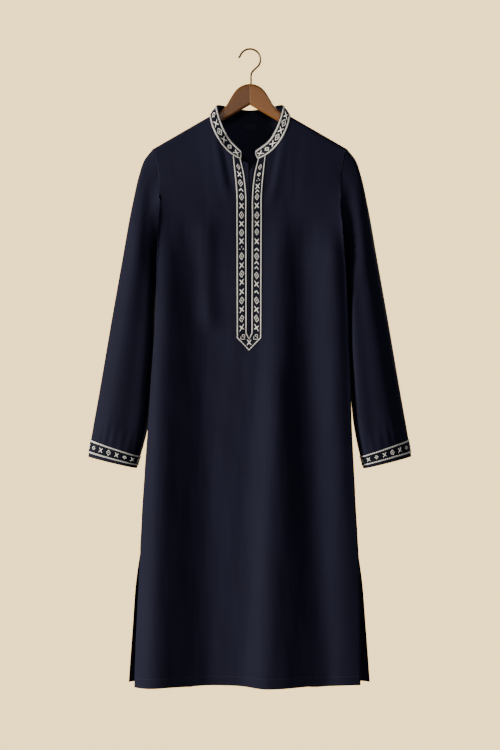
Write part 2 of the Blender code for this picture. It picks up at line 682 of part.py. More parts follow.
def placket_strip(front, side):
    """The plain strip behind the opening on one side.  The left one passes in front of the right one."""
    z = np.concatenate([[-0.2245, -0.2350, -0.2450], [OPENING_CLOSES, -0.2700], LEVEL_ROWS[:8]])
    slot = PLACKET.at("inner", z)
    outer = PLACKET_X + side * (slot + 0.009)
    opened = ramp((z - OPENING_CLOSES) / 0.035)
    if side < 0:
        inner = PLACKET_X + 0.0010 - 0.0025 * opened
        behind = WALL + SEAM_GAP
    else:
        inner = PLACKET_X - 0.0020 + 0.0155 * opened
        behind = WALL + TRIM_WALL + 2 * SEAM_GAP
    x = np.column_stack([inner, (inner + outer) / 2, outer])
    level = np.column_stack([z, z, z])
    y = front_y(x, level) + behind * 1.15
    return np.stack([x, y, level], axis=2)


def label_grid():
    x = np.linspace(-0.0120, 0.0140, 4)
    z = np.linspace(NECK_Z - BACK_NECK_DROP - 0.0015, NECK_Z - BACK_NECK_DROP - 0.0145, 3)
    across, down = np.meshgrid(x, z)
    y = back_y(across, down) - WALL - TRIM_GAP - 0.0012
    return np.stack([across, y, down], axis=2)


def build():
    for obj in list(bpy.data.objects):
        bpy.data.objects.remove(obj)
    parts = bpy.data.collections.new("kurta_tunic_on_hanger")
    bpy.context.scene.collection.children.link(parts)
    navy = material("navy_cloth", NAVY, 0.85)
    thread = material("embroidered_band", THREAD, 0.75)
    dark = material("label_cloth", LABEL, 0.6)
    wood = material("hanger_wood", WOOD, 0.45)
    brass = material("hook_brass", BRASS, 0.35, 1.0)

    front = front_grid()
    back = back_grid()
    middle = front.shape[1] // 2 - 1
    slot = {(row, middle) for row in range(SLOT_ROW)}
    pieces = [
        sheet("front_panel", front, WALL, navy, skip=slot),
        sheet("back_panel", back, WALL, navy, flip=True),
    ]
    for side, word in ((-1, "left"), (1, "right")):
        sleeve = sleeve_grid(side, front, back)
        cuff = cuff_border(sleeve)
        border = placket_border(front, side)
        strip = placket_strip(front, side)
        left = side < 0
        pieces.append(sheet("sleeve_" + word, sleeve, WALL, navy, wrap=True, flip=left))
        pieces.append(sheet("cuff_border_" + word, cuff, TRIM_WALL, thread, wrap=True, flip=left))
        pieces.append(sheet("placket_border_" + word, border, TRIM_WALL, thread, flip=left))
        pieces.append(sheet("placket_strip_" + word, strip, TRIM_WALL, navy, flip=left))
    collar = collar_grid(front, back)
    pieces.append(sheet("collar", collar, COLLAR_WALL, navy))
    collar_band = moved_out(collar, TRIM_GAP + TRIM_WALL)[COLLAR_BAND_ROWS]
    pieces.append(sheet("collar_border", collar_band, TRIM_WALL, thread, even=True))
    pieces.append(sheet("neck_label", label_grid(), LABEL_WALL, dark))
    for side, word in ((-1, "left"), (1, "right")):
        pieces.append(arm("hanger_arm_" + word, side, wood))
    pieces.append(hook("hanger_hook", brass))
    for obj in pieces:
        parts.objects.link(obj)


build()
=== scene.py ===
import math

import bmesh
import bpy
import numpy as np
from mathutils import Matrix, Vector


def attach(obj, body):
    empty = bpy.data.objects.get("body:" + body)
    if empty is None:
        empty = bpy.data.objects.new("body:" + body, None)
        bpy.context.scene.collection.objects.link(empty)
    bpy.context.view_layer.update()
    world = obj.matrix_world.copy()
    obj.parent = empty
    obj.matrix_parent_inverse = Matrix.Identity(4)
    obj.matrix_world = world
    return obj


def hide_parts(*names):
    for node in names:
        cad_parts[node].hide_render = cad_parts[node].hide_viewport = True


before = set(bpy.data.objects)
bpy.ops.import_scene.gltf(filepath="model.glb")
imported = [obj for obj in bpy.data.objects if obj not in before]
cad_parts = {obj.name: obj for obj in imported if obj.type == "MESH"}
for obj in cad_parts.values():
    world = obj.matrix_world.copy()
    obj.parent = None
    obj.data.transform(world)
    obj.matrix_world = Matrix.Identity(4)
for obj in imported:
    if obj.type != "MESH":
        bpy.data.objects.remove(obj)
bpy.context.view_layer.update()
print("frame loaded:", len(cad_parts), "nodes")

sides = ((-1, "Left"), (1, "Right"))
# how the garment hangs: lengths in metres, x to the viewer's right, y away, z up
hang = {
    "slope": math.radians(30.0),  # of the shoulders
    "neckZ": -0.1325,
    "neckHalf": 0.0805,
    "tipHalf": 0.1940,
    "neckDrop": 0.0916,
    "neckDropPower": 1.25,
    "backNeckDrop": 0.0065,
    "backNeckReach": 0.0500,
    "backNeckRipple": 0.003,
    "foldRadius": 0.0072,
    "frontDrape": 0.2000,
    "backDrape": 0.0800,
    "sectionPower": 2.6,
    "foldReach": 10,  # a higher power carries the folds further out to the side
    "foldTurn": math.radians(50.0),
    "foldsRunOut": -1.20,  # a fold that ends below this runs on through the hem
    "yoke": -0.290,
    "underarm": -0.410,
    "slitTop": -0.900,
    "frontHem": -1.2650,
    "backHem": -1.2680,
    "foldsEnd": -1.27,  # the height to which the long folds are given
    "sideHem": 0.2,  # how far out the side's columns reach at the hem
    "spreadFrom": 0.03,  # where the columns begin to move out as the body widens, and over what width
    "spreadOver": 0.06,
    "hemWave": 0.10,  # the share of the front folds' height by which the hem dips
    "backHemRise": 0.004,  # in the middle, gone this far out
    "backHemHalf": 0.24,
    "backEdge": 0.002,  # the back's edge at the slit's top, and its slope below
    "backEdgeFlare": 0.03,
    "seamGap": 0.0003,
    "shoulderGap": 0.0002,
}


def tableOf(names, *rows):  # rows of sizes under named columns; the first column says where each applies
    ordered = np.array(sorted(rows), float)
    return {name: ordered[:, index] for index, name in enumerate(names.split())}


def at(table, name, where):  # a smooth curve through the column's values, straight on past its ends
    places, values = next(iter(table.values())), table[name]
    where = np.asarray(where, float)
    slopes = np.gradient(values, places)
    cell = np.clip(np.searchsorted(places, where) - 1, 0, len(places) - 2)
    span = places[cell + 1] - places[cell]
    t = np.clip((where - places[cell]) / span, 0.0, 1.0)
    start = (1 + 2 * t) * (1 - t) ** 2 * values[cell] + t * (1 - t) ** 2 * slopes[cell] * span
    end = t * t * (3 - 2 * t) * values[cell + 1] + t * t * (t - 1) * slopes[cell + 1] * span
    return start + end


bodySizes = tableOf(
    "height left right seamX seamY sideY frontY backY frontReach backReach",
    (-1.30, 0.2305, 0.2195, 0.2285, -0.018, -0.0285, -0.030, 0.030, 1.0, 1.0),
    (-1.20, 0.2275, 0.2190, 0.2235, -0.012, -0.0295, -0.031, 0.033, 1.0, 1.0),
    (-1.06, 0.2210, 0.2180, 0.2110, -0.004, -0.0275, -0.029, 0.034, 1.0, 1.0),
    (-0.90, 0.2130, 0.2095, 0.1970, 0.002, -0.0295, -0.026, 0.038, 1.0, 1.0),
    (-0.76, 0.2030, 0.2025, 0.1860, 0.003, -0.0310, -0.0255, 0.040, 1.0, 1.0),
    (-0.66, 0.1960, 0.1990, 0.1790, 0.003, -0.0320, -0.0235, 0.041, 1.0, 1.0),
    (-0.50, 0.1860, 0.1935, 0.1680, 0.002, -0.0330, -0.022, 0.043, 1.0, 1.0),
    (-0.41, 0.1845, 0.1880, 0.1650, 0.001, -0.0335, -0.020, 0.045, 1.0, 1.0),
    (-0.36, 0.1825, 0.1840, 0.1730, -0.010, -0.0330, -0.018, 0.046, 1.0, 0.98),
    (-0.30, 0.1805, 0.1810, 0.1795, -0.019, -0.0250, -0.018, 0.047, 1.0, 0.95),
    (-0.25, 0.1835, 0.1835, 0.1835, -0.019, -0.0140, -0.0215, 0.047, 1.0, 0.90),
    (-0.19, 0.1940, 0.1940, 0.1940, -0.019, -0.0080, -0.0300, 0.047, 0.75, 0.90),
)
backSpread = tableOf(
    "height left right",
    (-1.30, 0.2460, 0.2430),
    (-1.21, 0.2395, 0.2367),
    (-1.15, 0.2350, 0.2320),
    (-1.06, 0.2280, 0.2245),
    (-0.99, 0.2170, 0.2140),
    (-0.90, 0.1970, 0.1970),
)
# xTop, zTop, xBottom, zBottom, widthTop, widthBottom, heightTop, heightBottom
# a height below nought is a trough
frontFolds = (
    (-0.186, -0.35, -0.212, -1.27, 0.038, 0.080, 0.014, 0.043),
    (-0.087, -0.40, -0.078, -1.27, 0.045, 0.027, -0.008, -0.003),
    (0.064, -0.34, 0.053, -1.27, 0.033, 0.055, 0.014, 0.025),
    (0.044, -0.62, 0.023, -1.27, 0.025, 0.027, 0.004, 0.008),
    (0.078, -0.34, 0.159, -1.27, 0.045, 0.030, -0.007, -0.005),
    (0.169, -0.36, 0.195, -1.27, 0.030, 0.044, 0.019, 0.004),
    (-0.090, -0.33, -0.079, -0.56, 0.022, 0.018, 0.005, 0.008),
    (-0.070, -0.15, -0.047, -0.30, 0.010, 0.010, 0.006, 0.002),
    (-0.061, -0.17, -0.036, -0.28, 0.008, 0.008, -0.006, -0.002),
    (0.071, -0.15, 0.044, -0.31, 0.011, 0.011, 0.006, 0.002),
    (0.060, -0.17, 0.035, -0.29, 0.008, 0.008, -0.005, -0.002),
)
backFolds = (
    (-0.070, -0.40, -0.082, -1.27, 0.030, 0.040, -0.003, -0.018),
    (0.060, -0.45, 0.082, -1.27, 0.030, 0.040, -0.003, -0.018),
    (-0.155, -0.50, -0.180, -1.27, 0.028, 0.034, 0.002, 0.010),
    (0.155, -0.50, 0.180, -1.27, 0.028, 0.034, 0.002, 0.010),
    (0.000, -0.20, 0.000, -0.60, 0.020, 0.020, 0.004, 0.002),
)
# small creases that the big folds carry, in the same columns
frontCreases = (
    (-0.168, -0.205, -0.150, -0.275, 0.006, 0.006, 0.0012, 0.0004),
    (0.168, -0.205, 0.152, -0.280, 0.006, 0.006, 0.0012, 0.0004),
    (-0.100, -0.165, -0.092, -0.300, 0.009, 0.009, -0.0012, -0.0004),
    (0.098, -0.165, 0.092, -0.310, 0.009, 0.009, -0.0012, -0.0004),
    (-0.150, -0.34, -0.118, -0.47, 0.012, 0.012, 0.0014, 0.0004),
    (0.152, -0.33, 0.122, -0.46, 0.012, 0.012, 0.0014, 0.0004),
    (-0.128, -0.62, -0.140, -1.27, 0.010, 0.014, 0.0003, 0.0006),
    (0.150, -0.70, 0.160, -1.27, 0.012, 0.014, -0.0002, -0.0006),
    (-0.020, -0.70, -0.024, -1.20, 0.016, 0.016, 0.0003, 0.0004),
    (0.000, -0.600, 0.004, -0.70, 0.010, 0.010, 0.0010, 0.0004),
)
backCreases = (
    (-0.110, -0.24, -0.085, -0.50, 0.012, 0.012, 0.0020, 0.0008),
    (0.112, -0.24, 0.088, -0.50, 0.012, 0.012, 0.0020, 0.0008),
    (-0.030, -0.55, -0.034, -1.27, 0.014, 0.014, 0.0010, 0.0018),
    (0.034, -0.60, 0.040, -1.27, 0.012, 0.012, -0.0010, -0.0018),
    (-0.120, -0.70, -0.132, -1.27, 0.011, 0.011, 0.0008, 0.0014),
    (0.122, -0.70, 0.130, -1.27, 0.011, 0.011, -0.0008, -0.0014),
)
# waves across and down, in turns a metre, with a start and a height, that keep the cloth from lying dead flat
unevenWaves = (
    (17.0, 2.3, 0.4, 0.00018),
    (29.0, -3.1, 2.1, 0.00011),
    (47.0, 4.7, 4.0, 0.00005),
    (11.0, 7.9, 1.3, 0.00018),
    (71.0, -6.3, 5.2, 0.00003),
)


def ramp(t):  # from nought to one with a smooth start and end
    t = np.clip(t, 0.0, 1.0)
    return t * t * (3 - 2 * t)


def lengthAlong(path):  # how far along a path each of its points is
    return np.concatenate([[0.0], np.cumsum(np.linalg.norm(np.diff(path, axis=0), axis=1))])


def valuesAlong(values, length, where):  # a path's places or directions this far along it
    return np.stack([np.interp(where, length, column) for column in values.T], axis=-1)


def shoulderZ(x):  # level over the neck, then straight down at the shoulder's slope
    return hang["neckZ"] - np.maximum(np.abs(x) - hang["neckHalf"], 0.0) * math.tan(hang["slope"])


def foldHeight(folds, x, z):  # a bell across each fold's line, fading in at its top and out at its bottom
    total = 0.0
    for xTop, zTop, xBottom, zBottom, widthTop, widthBottom, heightTop, heightBottom in folds:
        share = np.clip((zTop - z) / (zTop - zBottom), 0.0, 1.0)
        middle = xTop + (xBottom - xTop) * share
        halfWidth = widthTop + (widthBottom - widthTop) * share
        height = heightTop + (heightBottom - heightTop) * share
        fadeIn = ramp((zTop + widthTop - z) / (3 * widthTop))
        fadeOut = 1.0 if zBottom < hang["foldsRunOut"] else ramp((z - zBottom + halfWidth) / (3 * halfWidth))
        total = total + height * fadeIn * fadeOut * np.exp(-(((x - middle) / halfWidth) ** 2))
    return total


def unevenness(x, z):  # a sum of slow waves, mostly running down the cloth
    total = 0.0
    for across, down, start, height in unevenWaves:
        total = total + height * np.sin(2 * math.pi * (across * x + down * z) + start)
    return total


def rounded(ratio):  # a superellipse's height at this share of its half width
    power = hang["sectionPower"]
    return np.clip(1.0 - np.clip(ratio, 0.0, 1.0) ** power, 0.0, 1.0) ** (1.0 / power)


def overArm(depth, full, drape, topY=0.0, share=1.0):  # a quarter circle over the arm, then a sine to full
    radius = hang["foldRadius"]
    near = np.minimum(depth, radius)
    turn = share * np.sqrt(radius**2 - (radius - near) ** 2)
    falling = np.sin(np.clip(depth / drape, 0.0, 1.0) * math.pi / 2)
    return topY + turn + (full - topY - share * radius) * falling


def depthBelowShoulder(x, z):  # taken square to the shoulder's slope
    return np.maximum(shoulderZ(x) - z, 0.0) * math.cos(hang["slope"])


def frontHalf(x, z):  # the front's half width on x's side
    return np.where(x < 0, at(bodySizes, "left", z), at(bodySizes, "right", z))


def frontY(x, z):  # the side's y plus a rounded section's share of the way to the middle's y, less the folds
    ratio = np.clip(np.abs(x) / frontHalf(x, z), 0.0, 1.0)
    side = at(bodySizes, "sideY", z)
    full = side + (at(bodySizes, "frontY", z) - side) * rounded(ratio * at(bodySizes, "frontReach", z))
    relief = foldHeight(frontFolds, x, z) + foldHeight(frontCreases, x, z) + unevenness(x, z)
    full = full - relief * (1.0 - ratio ** hang["foldReach"])
    return -overArm(depthBelowShoulder(x, z), -full, hang["frontDrape"])


def backHalf(x, z):  # the side seam's x, and below the slit's top the back's own spread
    spread = np.where(x < 0, at(backSpread, "left", z), at(backSpread, "right", z))
    return np.where(z < hang["slitTop"], spread, at(bodySizes, "seamX", z))


def backNeckY(x):  # half an ellipse across the neck
    return hang["backNeckReach"] * np.sqrt(np.clip(1.0 - (x / hang["neckHalf"]) ** 2, 0.0, 1.0))


def backY(x, z):  # as frontY, but backwards and from the neck's own curve; the folds stand out
    ratio = np.clip(np.abs(x) / backHalf(x, z), 0.0, 1.0)
    below = hang["backEdge"] + hang["backEdgeFlare"] * (hang["slitTop"] - z)
    edge = np.where(z < hang["slitTop"], below, at(bodySizes, "seamY", z)) + hang["seamGap"]
    edge = np.where(z > hang["underarm"], 0.0, edge)
    full = edge + (at(bodySizes, "backY", z) - edge) * rounded(ratio * at(bodySizes, "backReach", z))
    relief = foldHeight(backFolds, x, z) + foldHeight(backCreases, x, z) + unevenness(x + 0.3, z)
    full = full + relief * (1.0 - ratio ** hang["foldReach"])
    share = np.clip(np.abs(x) / hang["neckHalf"], 0.0, 1.0)
    return overArm(depthBelowShoulder(x, z), full, hang["backDrape"], backNeckY(x), share)


# grids of points: rows run down the cloth, columns across it
panelDetail = {
    "neckColumns": 50,  # each side, from the opening to the end of the shoulder's neck part
    "backNeckColumns": 34,
    "sideColumns": 40,  # each side, from there to the side seam
    "slotColumns": 3,
    "yokeRows": 20,
    "levelRows": 128,
    "pathSteps": 34,
}
edgeDepths = np.array([0.0, 0.0006, 0.0014, 0.0026, 0.0042, 0.0062, 0.0083])
placketSizes = tableOf(
    "height inner middle outer",
    (-1.30, 0.0053, 0.0154, 0.0254),
    (-0.34, 0.0053, 0.0154, 0.0254),
    (-0.29, 0.0056, 0.0157, 0.0257),
    (-0.25, 0.0100, 0.0196, 0.0290),
    (-0.21, 0.0178, 0.0258, 0.0338),
)
placket = {
    "x": -0.0015,
    "slotBottom": -0.5660,
    "innerTip": -0.5768,
    "outerTip": -0.6019,
    "openingCloses": -0.2560,
    "pointReach": 0.0060,  # half the opening's width where its point begins
    "centred": 0.08,  # by this far out the cloth lies about the middle again
    "turnsDown": 0.03,  # the way down in which the legs turn from the neck's edge
    "neckTurn": 78.0,  # the neck's turn at the inner and, less the reach, at the outer edge of a leg
    "neckReach": 12.0,
}
frontColumns = tableOf(  # the turn of the neck's edge at each column's top, and its x lower down
    "index turn lowX",
    (0, 78.0, 0.0053),
    (1, 72.0, 0.0154),
    (2, 66.0, 0.0254),
    (3, 57.0, 0.0400),
    (4, 46.0, 0.0560),
    (5, 34.0, 0.0690),
    (6, 20.0, 0.0790),
    (7, 8.0, 0.0850),
    (8, 3.0, 0.0885),
    (9, 0.0, 0.0910),
)
backColumns = tableOf(
    "index turn lowX",
    (0, 90.0, 0.0000),
    (1, 70.0, 0.0280),
    (2, 45.0, 0.0560),
    (3, 20.0, 0.0780),
    (4, 0.0, 0.0910),
)
hemStart = -1.2300
hemShares = np.array([0.25, 0.5, 0.72, 0.88, 0.97, 1.0])  # the hem's rows, closer towards its edge
levels = np.linspace(hang["yoke"], hemStart, panelDetail["levelRows"])
levels[np.abs(levels - hang["underarm"]).argmin()] = hang["underarm"]
levels = levels[(levels > placket["slotBottom"] + 0.002) | (levels < placket["innerTip"] - 0.002)]
vRows = np.linspace(placket["slotBottom"], placket["innerTip"], 5)
levels = np.sort(np.concatenate([levels, vRows]))[::-1]  # rows that the opening's point needs


def rowHeights(top, hem):  # close rows over the arm, shares down to the yoke, level rows, then the hem's
    top, hem = np.asarray(top, float), np.asarray(hem, float)
    edge = top - edgeDepths[:, None]
    shares = np.linspace(0.0, 1.0, panelDetail["yokeRows"] + 1)[1:-1, None]
    yoke = edge[-1] + (hang["yoke"] - edge[-1]) * shares
    level = np.repeat(levels[:, None], len(top), axis=1)
    low = hemStart + (hem - hemStart) * hemShares[:, None]
    return np.concatenate([edge, yoke, level, low])


armholeRows = len(edgeDepths) + panelDetail["yokeRows"] + int(np.argmax(levels == hang["underarm"]))


def frontHem(x):  # lower under each long fold by a share of its height
    return hang["frontHem"] - hang["hemWave"] * foldHeight(frontFolds[:6], x, hang["foldsEnd"])


def backHem(x):  # a shallow parabola, highest in the middle
    return hang["backHem"] + hang["backHemRise"] * (1.0 - (x / hang["backHemHalf"]) ** 2)


def neckTop(turn, front):  # x and z of the neck's edge at this turn from the shoulder seam
    angle = np.radians(turn)
    x = hang["neckHalf"] * np.cos(angle)
    if front:
        return x, hang["neckZ"] - hang["neckDrop"] * np.clip(np.sin(angle), 0, 1) ** hang["neckDropPower"]
    ripple = hang["backNeckRipple"] * np.sin(2 * angle)
    return x, hang["neckZ"] - hang["backNeckDrop"] * np.sin(angle) ** 2 + ripple


def spreadOut(x, z):  # moves a column out as the body widens
    widening = at(bodySizes, "left", z) / at(bodySizes, "left", hang["underarm"])
    moved = ramp((x - hang["spreadFrom"]) / hang["spreadOver"])
    return x * (1.0 + (widening - 1.0) * np.where(z < hang["yoke"], moved, 0.0))


def neckColumns(side, front):  # the columns whose tops lie on the neck's edge, from the middle outwards
    table = frontColumns if front else backColumns
    count = panelDetail["neckColumns"] if front else panelDetail["backNeckColumns"]
    hemOf = frontHem if front else backHem
    known = table["index"]
    topX, top = neckTop(table["turn"], front)
    z = rowHeights(top, hemOf(side * table["lowX"]))
    left = 1.0 - ramp((top - z) / (top - hang["yoke"]))
    x = spreadOut(table["lowX"] + (topX - table["lowX"]) * left, z)
    if front:
        for index, name in enumerate(("inner", "middle", "outer")):
            line = at(placketSizes, name, z[:, index])
            turned = ramp((top[index] - z[:, index]) / placket["turnsDown"])
            x[:, index] = line + (topX[index] - line[0]) * (1.0 - turned)
    where = np.linspace(0.0, known[-1], count)
    fineX = np.stack([at({"index": known, "x": row}, "x", where) for row in x])
    fineTopX, fineTop = neckTop(at(table, "turn", where), front)
    fineZ = rowHeights(fineTop, hemOf(side * at(table, "lowX", where)))
    fineX[0] = fineTopX
    if front:
        fineX = side * fineX + placket["x"] * (1.0 - ramp(fineX / placket["centred"]))
        fineY = frontY(fineX, fineZ)
    else:
        fineX = side * fineX
        fineY = backY(fineX, fineZ)
    return np.stack([fineX, fineY, fineZ], axis=2)


def alongPaths(paths, share):  # the point at a share of each path's length, for a whole grid of paths at once
    steps = np.linalg.norm(np.diff(paths, axis=2), axis=3)
    length = np.concatenate([np.zeros(steps.shape[:2] + (1,)), np.cumsum(steps, axis=2)], axis=2)
    wanted = share * length[..., -1]
    cell = np.clip((length <= wanted[..., None]).sum(axis=2) - 1, 0, paths.shape[2] - 2)
    before = np.take_along_axis(length, cell[..., None], 2)[..., 0]
    after = np.take_along_axis(length, cell[..., None] + 1, 2)[..., 0]
    t = np.clip((wanted - before) / np.maximum(after - before, 1e-9), 0.0, 1.0)[..., None]
    first = np.take_along_axis(paths, cell[..., None, None].repeat(2, 3), 2)[:, :, 0]
    second = np.take_along_axis(paths, cell[..., None, None].repeat(2, 3) + 1, 2)[:, :, 0]
    return first + (second - first) * t


def sideColumns(side, last, front):  # from the last neck column round to the armhole and the side seam
    share = np.linspace(0.0, 1.0, panelDetail["sideColumns"] + 1)[1:]
    topX = hang["neckHalf"] + (hang["tipHalf"] - hang["neckHalf"]) * share
    hemOf = frontHem if front else backHem
    z = rowHeights(shoulderZ(topX), hemOf(side * hang["sideHem"] * share))
    start = np.abs(last[:, 0])[:, None, None]
    depth = z[..., None]
    way = np.sin(np.linspace(0.0, math.pi / 2, panelDetail["pathSteps"]))
    sideOf = np.full_like(depth, side)
    half = frontHalf(sideOf, depth) if front else backHalf(sideOf, depth)
    out = side * (start + (half - start) * way)
    y = (frontY if front else backY)(out, np.broadcast_to(depth, out.shape))
    if front:
        seamX = np.minimum(at(bodySizes, "seamX", depth), half)
        edgeY = y[..., -1:]
        seamY = np.maximum(at(bodySizes, "seamY", depth), edgeY)
        turn = np.linspace(0.0, hang["foldTurn"], 13)[1:]
        shut = math.cos(hang["foldTurn"])
        roundX = seamX + (half - seamX) * (np.cos(turn) - shut) / (1.0 - shut)
        roundY = edgeY + (seamY - edgeY) * np.sin(turn) / math.sin(hang["foldTurn"])
        out = np.concatenate([out, side * roundX], axis=2)
        y = np.concatenate([y, roundY], axis=2)
    point = alongPaths(np.stack([out, y], axis=3), np.broadcast_to(share, z.shape))
    away = -1 if front else 1
    grid = np.stack([point[..., 0], point[..., 1] + away * hang["seamGap"] / 2, z], axis=2)
    grid[0, :, 0] = side * topX
    grid[0, :, 1] = away * hang["shoulderGap"]
    return grid


def panelGrid(front):  # left side seam to right side seam
    halves = []
    for side in (-1, 1):
        neck = neckColumns(side, front)
        halves.append(np.concatenate([neck, sideColumns(side, neck[:, -1], front)], axis=1))
    left, right = halves
    if not front:
        return np.concatenate([left[:, ::-1], right[:, 1:]], axis=1)
    share = np.linspace(0.0, 1.0, panelDetail["slotColumns"] + 2)[1:-1, None]
    slot = left[:, None, 0] + (right[:, None, 0] - left[:, None, 0]) * share
    slot[..., 1] = frontY(slot[..., 0], slot[..., 2])
    return np.concatenate([left[:, ::-1], slot, right], axis=1)


sleeveSizes = tableOf(
    "share outerX outerZ innerX innerZ centreY frontDepth backDepth",
    (0.00, 0.1940, -0.199, 0.1655, -0.410, 0.010, 0.014, 0.024),
    (0.05, 0.2120, -0.221, 0.1725, -0.432, 0.009, 0.018, 0.025),
    (0.10, 0.2215, -0.247, 0.1810, -0.453, 0.008, 0.023, 0.026),
    (0.20, 0.2350, -0.306, 0.1895, -0.496, 0.006, 0.030, 0.027),
    (0.40, 0.2565, -0.425, 0.1935, -0.582, 0.004, 0.035, 0.028),
    (0.60, 0.2790, -0.553, 0.1995, -0.666, 0.003, 0.036, 0.029),
    (0.80, 0.3010, -0.682, 0.2070, -0.750, 0.003, 0.035, 0.029),
    (0.92, 0.3155, -0.763, 0.2170, -0.801, 0.004, 0.032, 0.028),
    (1.00, 0.3240, -0.813, 0.2262, -0.8365, 0.005, 0.029, 0.026),
)
sleeve = {
    "topRings": 30,
    "evenRings": 78,
    "bandRings": 9,
    "edgeShares": (0.991, 0.996, 1.0),
    "topPart": 0.16,  # the share whose rings lie closer
    "blend": 0.22,  # by this share the sleeve has left the armhole's own curve
    "square": 0.8,  # below one, a squarer section than an ellipse
    "nearer": {-1: 0.0045, 1: 0.0},  # how much nearer the body each inner edge hangs on the way down
    "nearerOver": 0.25,  # the share at each end over which that comes and goes
    "tilt": {-1: 0.0, 1: 0.008},  # how far each inner edge comes forward and each outer edge goes back
    "tiltFrom": 0.08,
    "tiltOver": 0.30,
    "bandStart": 0.9450,
    "bandEnd": 0.9875,
    # around (0 at the outer edge, 1 at the inner edge, below nought at the back), share down, then as above
    "folds": (
        (0.36, 0.10, 0.36, 0.92, 0.10, 0.0016, 0.0022),
        (0.55, 0.16, 0.60, 0.90, 0.09, -0.0014, -0.0024),
        (0.72, 0.20, 0.80, 0.95, 0.08, 0.0010, 0.0016),
        (0.20, 0.02, 0.28, 0.22, 0.07, -0.0014, -0.0004),
        (-0.40, 0.10, -0.36, 0.92, 0.12, 0.0020, 0.0026),
        (-0.62, 0.12, -0.70, 0.90, 0.10, -0.0016, -0.0024),
    ),
    "puckers": 22,  # small upright gathers just above the cuff's band
    "puckerHeight": 0.00055,
    "puckersFrom": 0.83,
    "puckersOver": 0.09,
}


def sleeveRelief(around, share):  # the sleeve's own folds, then the puckers just above the band
    total = 0.0
    for topAt, topShare, lowAt, lowShare, halfWidth, heightTop, heightLow in sleeve["folds"]:
        way = np.clip((share - topShare) / (lowShare - topShare), 0.0, 1.0)
        middle = topAt + (lowAt - topAt) * way
        fade = ramp((share - topShare + 0.06) / 0.12) * ramp((lowShare + 0.04 - share) / 0.10)
        height = heightTop + (heightLow - heightTop) * way
        total = total + height * fade * np.exp(-(((around - middle) / halfWidth) ** 2))
    near = ramp((share - sleeve["puckersFrom"]) / sleeve["puckersOver"])
    near = near * ramp((sleeve["bandStart"] + 0.004 - share) / 0.012)
    wave = np.sin(sleeve["puckers"] * math.pi * around + 2.0 * np.sin(5.0 * around))
    return total + sleeve["puckerHeight"] * near * wave * ramp((1.0 - np.abs(around)) / 0.1)


def sleeveEllipse(side, share, angle, forward):  # angle 0 at the outer edge, half a turn at the inner edge
    outer = [at(sleeveSizes, name, share) for name in ("outerX", "outerZ")]
    inner = [at(sleeveSizes, name, share) for name in ("innerX", "innerZ")]
    over = sleeve["nearerOver"]
    inner[0] = inner[0] - sleeve["nearer"][side] * ramp(share / over) * ramp((1.0 - share) / over)
    turn = np.cos(angle)
    x = side * ((outer[0] + inner[0]) / 2 + (outer[0] - inner[0]) / 2 * turn)
    z = (outer[1] + inner[1]) / 2 + (outer[1] - inner[1]) / 2 * turn
    depths = [at(sleeveSizes, name, share) for name in ("frontDepth", "backDepth")]
    depth = np.where(forward < 0, depths[0], depths[1])
    relief = sleeveRelief(-forward * angle / math.pi, share) * np.sin(angle)
    tilt = sleeve["tilt"][side] * ramp((share - sleeve["tiltFrom"]) / sleeve["tiltOver"]) * turn
    out = depth * np.sin(angle) ** sleeve["square"] + relief
    y = at(sleeveSizes, "centreY", share) + forward * out + tilt
    return np.stack([x, y, z], axis=-1)


def sleeveGrid(side, front, back):  # rings from the armhole's edge down to the cuff
    edge = 0 if side < 0 else -1
    down = front[:armholeRows, edge]
    up = back[1 : armholeRows - 1, edge][::-1]
    hole = np.concatenate([down, up])
    drop = (hole[0, 2] - hole[:, 2]) / (hole[0, 2] - hang["underarm"])
    hole[:, 0] += side * hang["seamGap"] * (1.0 + 2.0 * drop)
    angle = np.arccos(np.clip(1.0 - 2.0 * drop, -1.0, 1.0))[None]
    forward = np.where(np.arange(len(hole)) < armholeRows, -1.0, 1.0)[None]
    share = sleeveShares()[:, None]
    keep = (1.0 - np.clip(share / sleeve["blend"], 0.0, 1.0)) ** 3
    first = sleeveEllipse(side, np.zeros((1, 1)), angle, forward)
    return sleeveEllipse(side, share, angle, forward) + (hole - first) * keep[..., None]


def sleeveShares():  # where the rings lie: closer at the armhole, then even, then over the band and the edge
    upper = np.linspace(0.0, 1.0, sleeve["topRings"]) ** 1.5 * sleeve["topPart"]
    lower = np.linspace(sleeve["topPart"], sleeve["bandStart"], sleeve["evenRings"])[1:]
    band = np.linspace(sleeve["bandStart"], sleeve["bandEnd"], sleeve["bandRings"])[1:]
    return np.concatenate([upper, lower, band, sleeve["edgeShares"]])


collarLean = tableOf(  # the collar's top edge as moves from its seam, by the turn from the side of the neck
    "turn inward back up",
    (-78.0, 0.0030, 0.0100, 0.0185),
    (-62.0, 0.0122, 0.0110, 0.0184),
    (-47.0, 0.0170, 0.0105, 0.0150),
    (-34.0, 0.0190, 0.0060, 0.0120),
    (-20.0, 0.0185, 0.0010, 0.0140),
    (-8.0, 0.0165, 0.0000, 0.0185),
    (-3.0, 0.0160, 0.0020, 0.0205),
    (0.0, 0.0155, 0.0020, 0.0210),
    (20.0, 0.0120, 0.0000, 0.0245),
    (45.0, 0.0070, 0.0000, 0.0265),
    (90.0, 0.0000, 0.0020, 0.0265),
)
collar = {
    "frontColumns": 60,
    "backColumns": 40,
    "rows": 13,
    "cornerRadius": 0.0095,  # of the rounded corner at each front end
    "rightLean": 0.0055,  # how much further in the right end leans at its top, from this turn on
    "leanFrom": 50.0,
    "leanOver": 28.0,
    "bow": 0.0012,  # the collar is slightly full between its edges
}


